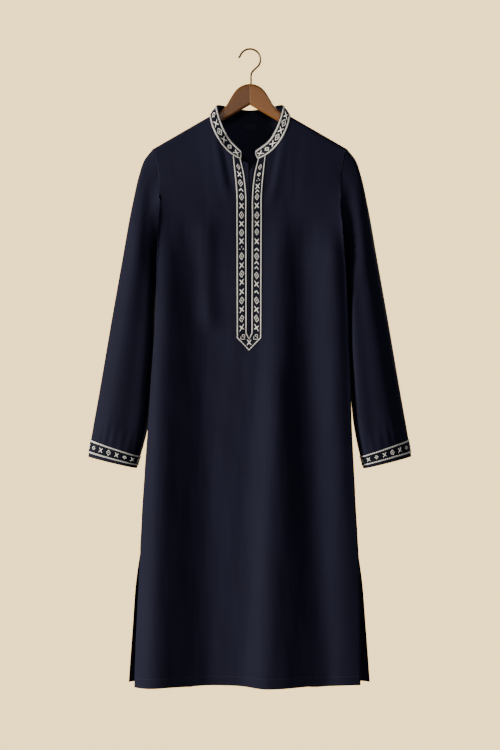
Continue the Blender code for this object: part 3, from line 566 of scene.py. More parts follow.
def collarGrid():  # rows from the seam up, columns from the left front end round to the right one
    frontTurns = np.linspace(placket["neckTurn"], 0.0, collar["frontColumns"])
    backTurns = np.linspace(0.0, 90.0, collar["backColumns"])[1:]
    frontX, frontZ = neckTop(frontTurns, True)
    backX, backZ = neckTop(backTurns, False)
    turns = np.concatenate([-frontTurns, backTurns])
    lean = [at(collarLean, name, turns) for name in ("inward", "back", "up")]
    halves = []
    for side in (-1, 1):
        x = side * frontX + placket["x"] * (1.0 - ramp(frontX / placket["centred"]))
        y = frontY(x, frontZ)
        seamFront = np.stack([x, y, frontZ], axis=1)
        seamBack = np.stack([side * backX, backY(side * backX, backZ), backZ], axis=1)
        seam = np.concatenate([seamFront, seamBack])
        leaning = ramp((-turns - collar["leanFrom"]) / collar["leanOver"])
        longer = collar["rightLean"] * leaning if side > 0 else 0.0
        rise = np.stack([-side * (lean[0] + longer), lean[1], lean[2]], axis=1)
        halves.append((seam, rise))
    seam = np.concatenate([halves[0][0], halves[1][0][:-1][::-1]])
    rise = np.concatenate([halves[0][1], halves[1][1][:-1][::-1]])
    place = lengthAlong(seam)
    fromEnd = np.minimum(place, place[-1] - place)
    radius = collar["cornerRadius"]
    short = radius - np.sqrt(radius**2 - np.clip(radius - fromEnd, 0.0, radius) ** 2)
    top = 1.0 - short / np.linalg.norm(rise, axis=1)
    share = np.linspace(0.0, 1.0, collar["rows"])[:, None, None]
    bow = collar["bow"] * np.sin(math.pi * share)
    away = np.cross(rise, np.gradient(seam, axis=0))
    away /= np.linalg.norm(away, axis=1, keepdims=True)
    away *= np.sign((away * (seam - seam.mean(axis=0))).sum(axis=1, keepdims=True))
    return seam + rise * share * top[:, None] + away * bow * top[:, None]


def gridNormals(grid, outward):  # across the cloth times down it; outward picks which face is the outside
    normal = np.cross(np.gradient(grid, axis=0), np.gradient(grid, axis=1)) * outward
    return normal / np.maximum(np.linalg.norm(normal, axis=2, keepdims=True), 1e-12)


def movedOut(grid, outward, distance):  # each point moved along its normal
    return grid + gridNormals(grid, outward) * distance


def bandOf(grid, outward, width):  # a strip that shapes are laid on: rows run across it and columns along it
    along = lengthAlong(grid[len(grid) // 2])
    return {"grid": grid, "normals": gridNormals(grid, outward), "along": along, "width": width}


def sampled(values, row, column):  # values at fractional rows and columns
    row = np.clip(row, 0, values.shape[0] - 1.0001)
    column = np.clip(column, 0, values.shape[1] - 1.0001)
    r, c = row.astype(int), column.astype(int)
    fr, fc = (row - r)[..., None], (column - c)[..., None]
    upper = values[r, c] * (1 - fc) + values[r, c + 1] * fc
    lower = values[r + 1, c] * (1 - fc) + values[r + 1, c + 1] * fc
    return upper * (1 - fr) + lower * fr


def onBand(band, along, across, lift):  # along and across in metres, across measured from the band's middle
    column = np.interp(along, band["along"], np.arange(len(band["along"])))
    row = (0.5 + across / band["width"]) * (len(band["grid"]) - 1)
    normal = sampled(band["normals"], row, column)
    normal /= np.linalg.norm(normal, axis=-1, keepdims=True)
    return sampled(band["grid"], row, column) + normal * lift[..., None]


def onto(band, ring=False):  # a map from (along, across, lift) onto one band, which may go round a cuff
    def mapping(along, across, lift):
        return onBand(band, along % band["along"][-1] if ring else along, across, lift)

    return mapping


# Bars, braids and stitches are tubes of rings of eight points. A satin-stitched bar is a low arch over a flat
# underside, with this many rings along it.
ringPoints = 8
ringAngle = np.arange(ringPoints) * math.pi / 4 + math.pi / 8
barShape = {"stations": 7, "arch": 0.00075, "sink": 0.00025}


def tubeQuads(here, ahead):  # the faces from each ring to the one ahead, from the first point of each ring
    step = np.arange(ringPoints)
    after = (step + 1) % ringPoints
    return np.stack([here + step, here + after, ahead + after, ahead + step], axis=-1).reshape(-1, 4)


def barQuads(rings):  # a tube with both ends closed
    here = np.arange(rings - 1)[:, None] * ringPoints
    start = np.array([[0, 7, 6, 1], [1, 6, 5, 2], [2, 5, 4, 3]])
    end = np.array([[0, 1, 6, 7], [1, 2, 5, 6], [2, 3, 4, 5]]) + (rings - 1) * ringPoints
    return np.concatenate([tubeQuads(here, here + ringPoints), start, end])


def loopQuads(rings):  # a tube whose last ring joins its first
    ring = np.arange(rings)[:, None]
    return tubeQuads(ring * ringPoints, (ring + 1) % rings * ringPoints)


def barPoints(bars):  # bars is rows of (along, across) at each end, width and height
    way = np.linspace(0.0, 1.0, barShape["stations"])
    blunt = (1.0 - np.abs(2 * way - 1) ** 5) ** 0.5 * 0.75 + 0.25  # the ends are narrower and lower
    start, end = bars[:, 0:2], bars[:, 2:4]
    line = end - start
    length = np.linalg.norm(line, axis=1, keepdims=True)
    along = line / length
    side = np.stack([-along[:, 1], along[:, 0]], axis=1)
    middle = start[:, None] + line[:, None] * way[None, :, None]
    half = bars[:, 4, None, None] / 2 * blunt[None, :, None] * np.cos(ringAngle)
    place = middle[:, :, None] + side[:, None, None] * half[..., None]
    arch = bars[:, 5, None, None] * blunt[None, :, None] * np.sin(ringAngle)
    arch = np.where(np.sin(ringAngle) > 0, arch, -barShape["sink"])
    stitchAlong = np.broadcast_to((length * way)[:, :, None], half.shape)
    return place, arch, stitchAlong, half


# Motifs as bars, in millimetres: along and across at each end, then the bar's width.
motifs = {
    "cross": (
        (-5.6, -4.3, 5.6, 4.3, 2.1),
        (-5.6, 4.3, 5.6, -4.3, 2.1),
    ),
    "diamond": (
        (-7.3, -0.3, 0.5, 4.7, 1.25),
        (-0.5, 4.7, 7.3, -0.3, 1.25),
        (7.3, 0.3, -0.5, -4.7, 1.25),
        (0.5, -4.7, -7.3, 0.3, 1.25),
        (-1.6, 0.0, 1.6, 0.0, 1.9),
    ),
    "flower": (
        (-4.6, 0.0, -1.4, 0.0, 2.5),
        (1.4, 0.0, 4.6, 0.0, 2.5),
        (0.0, -4.4, 0.0, -1.4, 2.5),
        (0.0, 1.4, 0.0, 4.4, 2.5),
        (-3.0, -3.0, -1.6, -1.6, 1.5),
        (3.0, 3.0, 1.6, 1.6, 1.5),
        (-3.0, 3.0, -1.6, 1.6, 1.5),
        (3.0, -3.0, 1.6, -1.6, 1.5),
    ),
    "chevron": (
        (-3.0, -0.4, 3.2, 4.2, 1.9),
        (-3.0, 0.4, 3.2, -4.2, 1.9),
    ),
    "dots": (
        (-4.2, 0.0, -2.4, 0.0, 2.2),
        (0.4, -3.0, 2.2, -3.9, 2.2),
        (0.4, 3.0, 2.2, 3.9, 2.2),
    ),
    "square": (
        (-5.4, -4.5, -5.4, 4.9, 1.25),
        (-5.4, 4.5, 5.8, 4.5, 1.25),
        (5.4, 4.9, 5.4, -1.5, 1.25),
        (5.4, -1.2, 0.6, -1.2, 1.25),
        (-5.8, -4.5, 1.5, -4.5, 1.25),
        (-0.8, 1.4, 1.2, 1.4, 1.5),
    ),
}


def motifBars(rows):  # rows of along, across, turn in degrees, size and motif, as bars in metres
    bars = []
    for along, across, turn, size, name in rows:
        angle = math.radians(turn)
        spin = np.array([[math.cos(angle), math.sin(angle)], [-math.sin(angle), math.cos(angle)]])
        shape = np.array(motifs[name]) * 0.001 * size
        start, end = shape[:, 0:2] @ spin, shape[:, 2:4] @ spin
        height = np.full((len(shape), 1), barShape["arch"]) * np.clip(shape[:, 4:5] / 0.0024, 0.6, 1.0)
        height[1::2] *= 1.12  # the second of two crossing bars lies over the first
        place = np.array([along, across])
        bars.append(np.concatenate([start + place, end + place, shape[:, 4:5], height], axis=1))
    return np.concatenate(bars)


# The braid: a low rope of two strands, its arch rising and falling in slanted steps.
braidShape = {
    "width": 0.0037,  # unless the place asks for another
    "arch": 0.00085,
    "pitch": 0.0038,
    "step": 0.00055,
    "sink": 0.00025,
    "look": 0.0012,  # how far ahead and behind its direction is taken
    "swell": 0.22,  # how much of its height and of its width rises and falls
    "pinch": 0.10,
}


def braidPoints(path, closed, width):  # a profile carried along a path of (along, across) places
    if closed:
        path = np.concatenate([path, path[:1]])
    length = lengthAlong(path)
    count = max(int(length[-1] / braidShape["step"]), 4)
    where = np.linspace(0.0, length[-1], count + 1)
    if closed:
        where = where[:-1]
    ahead, behind = where + braidShape["look"], where - braidShape["look"]
    if closed:
        ahead, behind = ahead % length[-1], behind % length[-1]
    line = valuesAlong(path, length, ahead) - valuesAlong(path, length, behind)
    line /= np.maximum(np.linalg.norm(line, axis=1, keepdims=True), 1e-9)
    side = np.stack([-line[:, 1], line[:, 0]], axis=1)
    out = np.cos(ringAngle) / math.cos(math.pi / 8)
    phase = 2 * math.pi * (where[:, None] / braidShape["pitch"] + 0.55 * np.abs(out))
    swell = (1.0 - braidShape["swell"]) + braidShape["swell"] * np.cos(phase)
    arch = braidShape["arch"] * np.sin(ringAngle) * swell
    arch = np.where(np.sin(ringAngle) > 0, arch, -braidShape["sink"])
    half = width / 2 * out * ((1.0 - braidShape["pinch"]) + braidShape["pinch"] * np.cos(phase))
    place = valuesAlong(path, length, where)[:, None] + side[:, None] * half[..., None]
    return place, arch, np.broadcast_to(where[:, None], half.shape), half


def meshPiece(name, points, faces, uv, finish):  # uv holds a pair for each corner of each face, in metres
    mesh = bpy.data.meshes.new(name)
    mesh.from_pydata(points.reshape(-1, 3).tolist(), [], faces.tolist())
    layer = mesh.uv_layers.new(name="clothMap")
    layer.data.foreach_set("uv", np.ascontiguousarray(uv.reshape(-1, 2), np.float32).ravel())
    mesh.polygons.foreach_set("use_smooth", np.ones(len(mesh.polygons), bool))
    mesh.materials.append(finish)
    mesh.update()
    piece = bpy.data.objects.new(name, mesh)
    bpy.context.scene.collection.objects.link(piece)
    return piece


def gridFaces(rows, columns, wrap=False):  # corners of each cell as (row, column), the last column unwrapped
    row, column = np.meshgrid(np.arange(rows - 1), np.arange(columns if wrap else columns - 1), indexing="ij")
    corners = [(row, column), (row + 1, column), (row + 1, column + 1), (row, column + 1)]
    return np.stack([np.stack(pair, axis=-1) for pair in corners], axis=2)


# a grid's cells, or those kept, as the faces of one piece, with a wall added behind them
def sheetPiece(name, grid, uvGrid, wall, finish, wrap=False, flip=False, keep=None):
    rows, columns = grid.shape[:2]
    cells = gridFaces(rows, columns, wrap)
    if flip:
        cells = cells[:, :, ::-1]
    cells = cells.reshape(-1, 4, 2) if keep is None else cells[keep]
    faces = cells[..., 0] * columns + cells[..., 1] % columns
    uv = uvGrid[cells[..., 0], cells[..., 1]]
    piece = meshPiece(name, grid, faces, uv, finish)
    if wall:
        solidify = piece.modifiers.new("wall", "SOLIDIFY")
        solidify.thickness = wall
        solidify.offset = -1.0
    return piece


def lengthAcross(grid):  # how far along its row each point is
    steps = np.linalg.norm(np.diff(grid, axis=1), axis=2)
    return np.concatenate([np.zeros((len(grid), 1)), np.cumsum(steps, axis=1)], axis=1)


def clothMap(grid, wrap=False):  # a map in metres: across from the middle column, and down the cloth
    closed = np.concatenate([grid, grid[:, :1]], axis=1) if wrap else grid
    across = lengthAcross(closed)
    middle = closed.shape[1] // 2
    if not wrap:
        across = across - across[:, middle : middle + 1]
    return np.stack([across, np.broadcast_to(lengthAlong(closed[:, middle])[:, None], across.shape)], axis=2)


def bandMap(grid):  # the same, with the grain running along a band
    return clothMap(grid)[..., ::-1]


def panelMap(grid):  # across by the way round the body, down by height, so that the grain hangs upright
    across = lengthAcross(grid[..., :2])
    return np.stack([across - across[:, across.shape[1] // 2, None], -grid[..., 2]], axis=2)


def tubeFaces(count, rings):  # the faces of many closed bars, one after another
    return (barQuads(rings)[None] + np.arange(count)[:, None, None] * rings * ringPoints).reshape(-1, 4)


def facedOut(points, faces):  # turns the faces of closed shapes round if they hold less than nothing
    a, b, c, d = (points[faces[:, corner]] for corner in range(4))
    volume = (a * (np.cross(b, c) + np.cross(c, d))).sum()
    return faces if volume > 0 else faces[:, ::-1]


def threadPiece(name, parts, finish):  # parts are (points, faces, uv by point); they become one piece
    points, faces, uvs, first = [], [], [], 0
    for place, quads, uv in parts:
        place, uv = place.reshape(-1, 3), uv.reshape(-1, 2)
        quads = facedOut(place, quads)
        points.append(place)
        faces.append(quads + first)
        uvs.append(uv)
        first += len(place)
    faces = np.concatenate(faces)
    return meshPiece(name, np.concatenate(points), faces, np.concatenate(uvs)[faces], finish)


def motifPart(rows, mapping):  # mapping turns (along, across, lift) into a point of the cloth
    bars = motifBars(rows)
    place, arch, along, across = barPoints(bars)
    points = mapping(place[..., 0], place[..., 1], arch)
    return points, tubeFaces(len(bars), barShape["stations"]), np.stack([along, across], axis=-1)


def braidPart(path, mapping, ends="open", width=braidShape["width"]):  # or closed, or round by the mapping
    shaped = braidPoints(path, ends == "closed", width)
    if ends == "round":
        shaped = [values[:-1] for values in shaped]
    place, arch, along, across = shaped
    points = mapping(place[..., 0], place[..., 1], arch)
    faces = barQuads(len(points)) if ends == "open" else loopQuads(len(points))
    return points, faces, np.stack([along, across], axis=-1)


def levelLines(length, count, offset):  # a line along a band at this distance on each side of its middle
    line = np.linspace(0.0, length, count)
    return [np.stack([line, np.full(count, across)], axis=1) for across in (-offset, offset)]


stitchShape = {"length": 0.0026, "gap": 0.0011, "radius": 0.00022, "rings": 4}


def stitchPart(path, outward):  # a row of small round stitches along a line on the cloth
    length = lengthAlong(path)
    pitch = stitchShape["length"] + stitchShape["gap"]
    count = int((length[-1] - stitchShape["length"]) / pitch)
    way = np.linspace(0.0, 1.0, stitchShape["rings"])
    where = (np.arange(count) * pitch + stitchShape["gap"])[:, None] + stitchShape["length"] * way
    middle = valuesAlong(path, length, where)
    normal = valuesAlong(outward, length, where)
    normal /= np.linalg.norm(normal, axis=-1, keepdims=True)
    line = middle[:, -1:] - middle[:, :1]
    line = line / np.linalg.norm(line, axis=-1, keepdims=True)
    side = np.cross(line, normal)
    fat = stitchShape["radius"] * (0.4 + 0.6 * np.sin(math.pi * (0.14 + 0.72 * way)))[None, :, None, None]
    rise = stitchShape["radius"] * (0.1 + 0.9 * np.sin(math.pi * way))[None, :, None, None]
    ring = side[:, :, None] * np.cos(ringAngle)[:, None] * fat
    ring = ring + normal[:, :, None] * np.sin(ringAngle)[:, None] * fat
    points = middle[:, :, None] + normal[:, :, None] * rise * 0.7 + ring
    uv = np.stack(np.broadcast_arrays(where[:, :, None], ringAngle * 0.0001), axis=-1)
    return points, tubeFaces(count, stitchShape["rings"]), uv


def flatStitches(path):  # stitches along a line of cloth that faces straight forward
    return stitchPart(path, np.tile([0.0, -1.0, 0.0], (len(path), 1)))


def settle(piece, slotName, *nodes):  # every piece rides on the one body, and the frame's nodes it stands for are hidden; slotName is not used
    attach(piece, "root")
    if nodes:
        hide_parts(*nodes)
    return piece


def addNode(tree, kind, inputs=None, **settings):  # inputs that are sockets are linked, others are set
    node = tree.nodes.new(kind)
    for key, value in settings.items():
        setattr(node, key, value)
    for key, value in (inputs or {}).items():
        if isinstance(value, bpy.types.NodeSocket):
            tree.links.new(value, node.inputs[key])
        else:
            node.inputs[key].default_value = value
    return node


def mathNode(tree, operation, first, second=0.0, third=0.0):
    return addNode(tree, "ShaderNodeMath", {0: first, 1: second, 2: third}, operation=operation).outputs[0]


def noiseNode(tree, vector, scale, detail, roughness=0.5):
    inputs = {"Vector": vector, "Scale": scale, "Detail": detail, "Roughness": roughness}
    return addNode(tree, "ShaderNodeTexNoise", inputs).outputs[0]


def stretchedNoise(tree, vector, scale, detail, roughness=0.5):  # noise drawn out by a scale for each axis
    stretched = addNode(tree, "ShaderNodeMapping", {"Vector": vector, "Scale": scale})
    return noiseNode(tree, stretched.outputs[0], 1.0, detail, roughness)


def bumpNode(tree, height, strength, distance):
    inputs = {"Height": height, "Strength": strength, "Distance": distance}
    return addNode(tree, "ShaderNodeBump", inputs).outputs[0]


def placeGroup(tree, group, inputs):
    return addNode(tree, "ShaderNodeGroup", inputs, node_tree=group).outputs


def newGroup(name, takes, gives):
    group = bpy.data.node_groups.new(name, "ShaderNodeTree")
    for label, kind, value in takes:
        socket = group.interface.new_socket(label, in_out="INPUT", socket_type="NodeSocket" + kind)
        if value is not None:
            socket.default_value = value
    for label, kind in gives:
        group.interface.new_socket(label, in_out="OUTPUT", socket_type="NodeSocket" + kind)
    return group, group.nodes.new("NodeGroupInput").outputs, group.nodes.new("NodeGroupOutput").inputs


def plainWeave():  # over and under threads, with the uneven thickness of the yarn running down and across
    takes = [("Vector", "Vector", None), ("Pitch", "Float", 0.0006), ("Unevenness", "Float", 1.0)]
    group, taken, given = newGroup("plainWeave", takes, [("Height", "Float"), ("Tone", "Float")])
    turns = mathNode(group, "DIVIDE", 2 * math.pi, taken["Pitch"])
    parts = addNode(group, "ShaderNodeSeparateXYZ", {0: taken["Vector"]})
    down = mathNode(group, "SINE", mathNode(group, "MULTIPLY", parts.outputs[0], turns))
    across = mathNode(group, "SINE", mathNode(group, "MULTIPLY", parts.outputs[1], turns))
    cross = mathNode(group, "MULTIPLY_ADD", mathNode(group, "MULTIPLY", down, across), 0.35, 0.5)
    yarns = []
    for scale in ((620.0, 9.0, 1.0), (14.0, 480.0, 1.0), (150.0, 4.0, 1.0)):
        yarns.append(mathNode(group, "SUBTRACT", stretchedNoise(group, taken["Vector"], scale, 3.0), 0.5))
    slub = mathNode(group, "MULTIPLY_ADD", yarns[1], 0.45, yarns[0])
    slub = mathNode(group, "MULTIPLY_ADD", yarns[2], 0.9, slub)
    slub = mathNode(group, "MULTIPLY", slub, taken["Unevenness"])
    group.links.new(mathNode(group, "MULTIPLY_ADD", slub, 0.8, cross), given["Height"])
    group.links.new(mathNode(group, "ADD", slub, 0.5), given["Tone"])
    return group


def wornPatches():  # slow, soft patches of lighter and darker colour, as of handled or washed goods
    takes = [("Vector", "Vector", None), ("Size", "Float", 0.12), ("Strength", "Float", 0.2)]
    group, taken, given = newGroup("wornPatches", takes, [("Tone", "Float")])
    scaled = addNode(group, "ShaderNodeVectorMath", {0: taken["Vector"]}, operation="DIVIDE")
    size = addNode(group, "ShaderNodeCombineXYZ", {0: taken["Size"], 1: taken["Size"], 2: taken["Size"]})
    group.links.new(size.outputs[0], scaled.inputs[1])
    centred = mathNode(group, "SUBTRACT", noiseNode(group, scaled.outputs[0], 1.0, 4.0), 0.5)
    group.links.new(mathNode(group, "MULTIPLY_ADD", centred, taken["Strength"], 0.5), given["Tone"])
    return group


def threadTwist():  # the slanted strands of a thread that runs along the map's first axis, with painted shade in the grooves between them as much as Shade asks
    takes = [("Vector", "Vector", None), ("Pitch", "Float", 0.0008)]
    takes += [("Slant", "Float", 1.0), ("Shade", "Float", 0.0)]
    group, taken, given = newGroup("threadTwist", takes, [("Height", "Float"), ("Tone", "Float")])
    parts = addNode(group, "ShaderNodeSeparateXYZ", {0: taken["Vector"]})
    turns = mathNode(group, "DIVIDE", 2 * math.pi, taken["Pitch"])
    sideways = mathNode(group, "ABSOLUTE", parts.outputs[1])
    leaning = mathNode(group, "MULTIPLY_ADD", sideways, taken["Slant"], parts.outputs[0])
    wave = mathNode(group, "SINE", mathNode(group, "MULTIPLY", leaning, turns))
    strand = mathNode(group, "MULTIPLY_ADD", wave, 0.5, 0.5)
    loose = mathNode(group, "SUBTRACT", noiseNode(group, taken["Vector"], 900.0, 2.0), 0.5)
    group.links.new(mathNode(group, "MULTIPLY_ADD", loose, 0.6, strand), given["Height"])
    # painted shade: the tone drops in the grooves between the strands, by Shade
    paintedGrooveShade = mathNode(group, "MULTIPLY", mathNode(group, "SUBTRACT", strand, 0.5), taken["Shade"])
    tone = mathNode(group, "MULTIPLY_ADD", loose, 0.8, 0.5)
    group.links.new(mathNode(group, "ADD", tone, paintedGrooveShade), given["Tone"])
    return group


def woodGrain():  # long fibres along the first axis, with wide bands of early and late wood
    takes = [("Vector", "Vector", None), ("Bands", "Float", 90.0)]
    group, taken, given = newGroup("woodGrain", takes, [("Tone", "Float")])
    wander = stretchedNoise(group, taken["Vector"], (5.0, 60.0, 60.0), 3.0)
    fibre = stretchedNoise(group, taken["Vector"], (40.0, 1500.0, 1500.0), 4.0, 0.65)
    parts = addNode(group, "ShaderNodeSeparateXYZ", {0: taken["Vector"]})
    bent = mathNode(group, "MULTIPLY_ADD", wander, 0.035, parts.outputs[2])
    turns = mathNode(group, "MULTIPLY", bent, taken["Bands"])
    rings = mathNode(group, "SINE", mathNode(group, "MULTIPLY", turns, 2 * math.pi))
    group.links.new(mathNode(group, "MULTIPLY_ADD", rings, 0.05, fibre), given["Tone"])
    return group


def finishOf(name, fixed):  # a material whose shader's own sockets hold the fixed values
    made = bpy.data.materials.new(name)
    made.use_nodes = True
    shader = made.node_tree.nodes["Principled BSDF"]
    for key, value in fixed.items():
        shader.inputs[key].default_value = value
    return made, made.node_tree, shader


def colourRamp(tree, tone, dark, light, low=0.25, high=0.75):
    node = addNode(tree, "ShaderNodeValToRGB", {0: tone})
    node.color_ramp.elements[0].position = low
    node.color_ramp.elements[0].color = (*dark, 1.0)
    node.color_ramp.elements[1].position = high
    node.color_ramp.elements[1].color = (*light, 1.0)
    return node.outputs[0]


def objectPlace(tree):
    return addNode(tree, "ShaderNodeTexCoord").outputs["Object"]


def clothPlace(tree):
    return addNode(tree, "ShaderNodeUVMap", uv_map="clothMap").outputs[0]


weave, patches, twist, grain = plainWeave(), wornPatches(), threadTwist(), woodGrain()


def wornTone(tree, size, strength):
    inputs = {"Vector": objectPlace(tree), "Size": size, "Strength": strength}
    return placeGroup(tree, patches, inputs)["Tone"]


def wornBy(tree, tone, size, strength):  # a tone with the patches' tone, taken about nought, added to it
    return mathNode(tree, "ADD", mathNode(tree, "SUBTRACT", wornTone(tree, size, strength), 0.5), tone)


def joined(made, tree, shader, colour, normal, rough=None):  # the material, once its shader has what varies
    tree.links.new(colour, shader.inputs["Base Color"])
    tree.links.new(normal, shader.inputs["Normal"])
    if rough is not None:
        tree.links.new(rough, shader.inputs["Roughness"])
    return made


def clothFinish(name, look):  # woven threads on the cloth's map, with soft patches over the piece
    made, tree, shader = finishOf(name, look["fixed"])
    inputs = {"Vector": clothPlace(tree), "Pitch": look["pitch"], "Unevenness": look["slub"]}
    woven = placeGroup(tree, weave, inputs)
    tone = wornBy(tree, woven["Tone"], look["patchSize"], look["patch"])
    colour = colourRamp(tree, tone, look["dark"], look["light"])
    bump = bumpNode(tree, woven["Height"], look["bump"], look["relief"])
    rough = mathNode(tree, "MULTIPLY_ADD", woven["Tone"], -0.12, look["roughness"] + 0.06)
    return joined(made, tree, shader, colour, bump, rough)


def threadFinish(name, look):  # the same with twisted strands
    made, tree, shader = finishOf(name, look["fixed"])
    inputs = {"Pitch": look["pitch"], "Slant": look["slant"], "Shade": look["shade"]}
    strands = placeGroup(tree, twist, {"Vector": clothPlace(tree), **inputs})
    tone = wornBy(tree, strands["Tone"], look["patchSize"], look["patch"])
    colour = colourRamp(tree, tone, look["dark"], look["light"])
    bump = bumpNode(tree, strands["Height"], look["bump"], look["relief"])
    return joined(made, tree, shader, colour, bump)


navyLook = {
    "pitch": 0.00055,
    "slub": 0.22,
    "patchSize": 0.11,
    "patch": 0.35,
    "dark": (0.0060, 0.0059, 0.0140),
    "light": (0.0100, 0.0099, 0.0232),
    "bump": 0.5,
    "relief": 0.00012,
    "roughness": 0.78,
    "fixed": {
        "Sheen Weight": 0.033,
        "Sheen Roughness": 0.45,
        "Sheen Tint": (0.40, 0.42, 0.85, 1.0),
        "Specular IOR Level": 0.08,
    },
}
groundLook = dict(
    navyLook,
    pitch=0.0008,
    slub=0.6,
    dark=(0.0023, 0.0028, 0.0073),
    light=(0.0053, 0.0063, 0.0147),
    fixed={"Sheen Weight": 0.04, "Sheen Roughness": 0.4, "Specular IOR Level": 0.12},
)
labelLook = dict(
    navyLook,
    pitch=0.0007,
    slub=0.5,
    dark=(0.0055, 0.0055, 0.0125),
    light=(0.0095, 0.0094, 0.0200),
    roughness=0.6,
)
threadLook = {
    "pitch": 0.00045,
    "slant": 0.0,
    "patchSize": 0.02,
    "patch": 0.5,
    "shade": 0.0,
    "dark": (0.80, 0.74, 0.64),
    "light": (0.98, 0.94, 0.85),
    "bump": 0.55,
    "relief": 0.0002,
    "fixed": {"Roughness": 0.62, "Sheen Weight": 0.15, "Specular IOR Level": 0.35},
}
# the braid's shade darkens the grooves between its strands towards its dark colour: painted shade
braidLook = dict(
    threadLook,
    pitch=0.0038,
    slant=1.2,
    shade=0.75,
    dark=(0.24, 0.22, 0.19),
    light=(0.88, 0.83, 0.75),
)
sewingLook = dict(
    threadLook,
    pitch=0.0006,
    slant=1.2,
    dark=(0.0055, 0.0058, 0.0145),
    light=(0.0110, 0.0115, 0.0270),
)
woodLook = {
    "dark": (0.068, 0.0235, 0.0050),
    "light": (0.172, 0.066, 0.0150),
    "lean": math.radians(30.0),  # the fibres run down each arm
    "bands": 95.0,
    "apart": 0.3,  # so that the two arms aren't cut alike
    "patchSize": 0.05,
    "patch": 0.3,
    "bump": 0.25,
    "relief": 0.0001,
    # the right arm is coloured lighter than the left
    "leftTone": -0.14,
    "rightTone": 0.44,
    "fixed": {"Coat Weight": 0.06, "Coat Roughness": 0.35, "Specular IOR Level": 0.25},
}
brassLook = {
    "dark": (0.085, 0.060, 0.032),
    "light": (0.26, 0.185, 0.100),
    "patchSize": 0.012,
    "patch": 0.35,
    "grain": 2500.0,
    "bump": 0.05,
    "relief": 0.00002,
    "fixed": {"Metallic": 0.75},
}


def woodFinish(name, side, tone):  # grain that runs down the arm
    made, tree, shader = finishOf(name, woodLook["fixed"])
    inputs = {
        "Vector": objectPlace(tree),
        "Rotation": (0.0, -side * woodLook["lean"], 0.0),
        "Location": (side * woodLook["apart"], 0.0, 0.0),
    }
    turned = addNode(tree, "ShaderNodeMapping", inputs).outputs[0]
    fibres = placeGroup(tree, grain, {"Vector": turned, "Bands": woodLook["bands"]})["Tone"]
    shade = wornBy(tree, mathNode(tree, "ADD", fibres, tone), woodLook["patchSize"], woodLook["patch"])
    colour = colourRamp(tree, shade, woodLook["dark"], woodLook["light"], 0.1, 0.9)
    rough = mathNode(tree, "MULTIPLY_ADD", fibres, 0.2, 0.34)
    bump = bumpNode(tree, fibres, woodLook["bump"], woodLook["relief"])
    return joined(made, tree, shader, colour, bump, rough)


def brassFinish(name, look):  # patches of tarnish over a fine tooth
    made, tree, shader = finishOf(name, look["fixed"])
    worn = wornTone(tree, look["patchSize"], look["patch"])
    colour = colourRamp(tree, worn, look["dark"], look["light"])
    rough = mathNode(tree, "MULTIPLY_ADD", worn, -0.25, 0.55)
    drawn = noiseNode(tree, objectPlace(tree), look["grain"], 2.0)
    bump = bumpNode(tree, drawn, look["bump"], look["relief"])
    return joined(made, tree, shader, colour, bump, rough)


navyCloth = clothFinish("navyCloth", navyLook)
bandGround = clothFinish("bandGround", groundLook)
labelCloth = clothFinish("labelCloth", labelLook)
whiteThread = threadFinish("whiteThread", threadLook)
whiteBraid = threadFinish("whiteBraid", braidLook)
sewingThread = threadFinish("sewingThread", sewingLook)
woodLeft = woodFinish("woodLeft", -1, woodLook["leftTone"])
woodRight = woodFinish("woodRight", 1, woodLook["rightTone"])
agedBrass = brassFinish("agedBrass", brassLook)
print("finishes made")


cloth = {
    "wall": 0.0010,
    "collarWall": 0.0012,
    "groundWall": 0.0007,  # of the bands under the embroidery
    "groundLift": 0.0010,  # how far their face stands off the cloth
}


def openingKept(grid):  # the cells of the front that are left once the opening and its point are cut out
    middle = (grid[:-1, :-1] + grid[1:, :-1] + grid[:-1, 1:] + grid[1:, 1:]) / 4
    first = grid.shape[1] // 2 - 2
    cut = np.zeros(middle.shape[:2], bool)
    cut[:, first : first + panelDetail["slotColumns"] + 1] = True
    fall = (middle[..., 2] - placket["innerTip"]) / (placket["slotBottom"] - placket["innerTip"])
    reach = placket["pointReach"] * np.clip(fall, 0.0, 1.0)
    inside = np.abs(middle[..., 0] - placket["x"]) < np.where(fall > 1.0, 1.0, reach)
    return ~(cut & inside & (fall > 0.0))


front, back = panelGrid(True), panelGrid(False)
kept = openingKept(front)
frontPiece = sheetPiece("frontPanel", front, panelMap(front), cloth["wall"], navyCloth, keep=kept)
settle(frontPiece, "navy_cloth", "front_panel")
backPiece = sheetPiece("backPanel", back, panelMap(back), cloth["wall"], navyCloth, flip=True)
settle(backPiece, "navy_cloth", "back_panel")

sleeves, sleevePieces = {}, {}
for side, word in sides:
    grid = sleeveGrid(side, front, back)
    sleeves[side] = grid
    uv = clothMap(grid, wrap=True)
    piece = sheetPiece("sleeve" + word, grid, uv, cloth["wall"], navyCloth, wrap=True, flip=side > 0)
    sleevePieces[side] = settle(piece, "navy_cloth", "sleeve_" + word.lower())

neckBand = collarGrid()
collarPiece = sheetPiece("collarStand", neckBand, bandMap(neckBand), cloth["collarWall"], navyCloth)
settle(collarPiece, "navy_cloth", "collar")
print("cloth made:", front.shape, back.shape, sleeves[1].shape, neckBand.shape)


# the placket: two embroidered legs that meet in a point, and the strips behind the opening
placketBand = {
    "width": 0.0201,
    "braidWidth": 0.0026,
    "braid": 0.00860,  # from the leg's middle to the middle of each braid
    "rowsAcross": 7,
    "columnsDown": 150,
    "pointColumns": 14,
    # up, across from the middle, turn, size and motif, where the legs turn to their point
    "cornerMotif": (-0.5745, 0.0127, 0.0, 0.85, "square"),
    "tipMotif": (-0.5853, 0.0, 0.0, 1.0, "cross"),
}
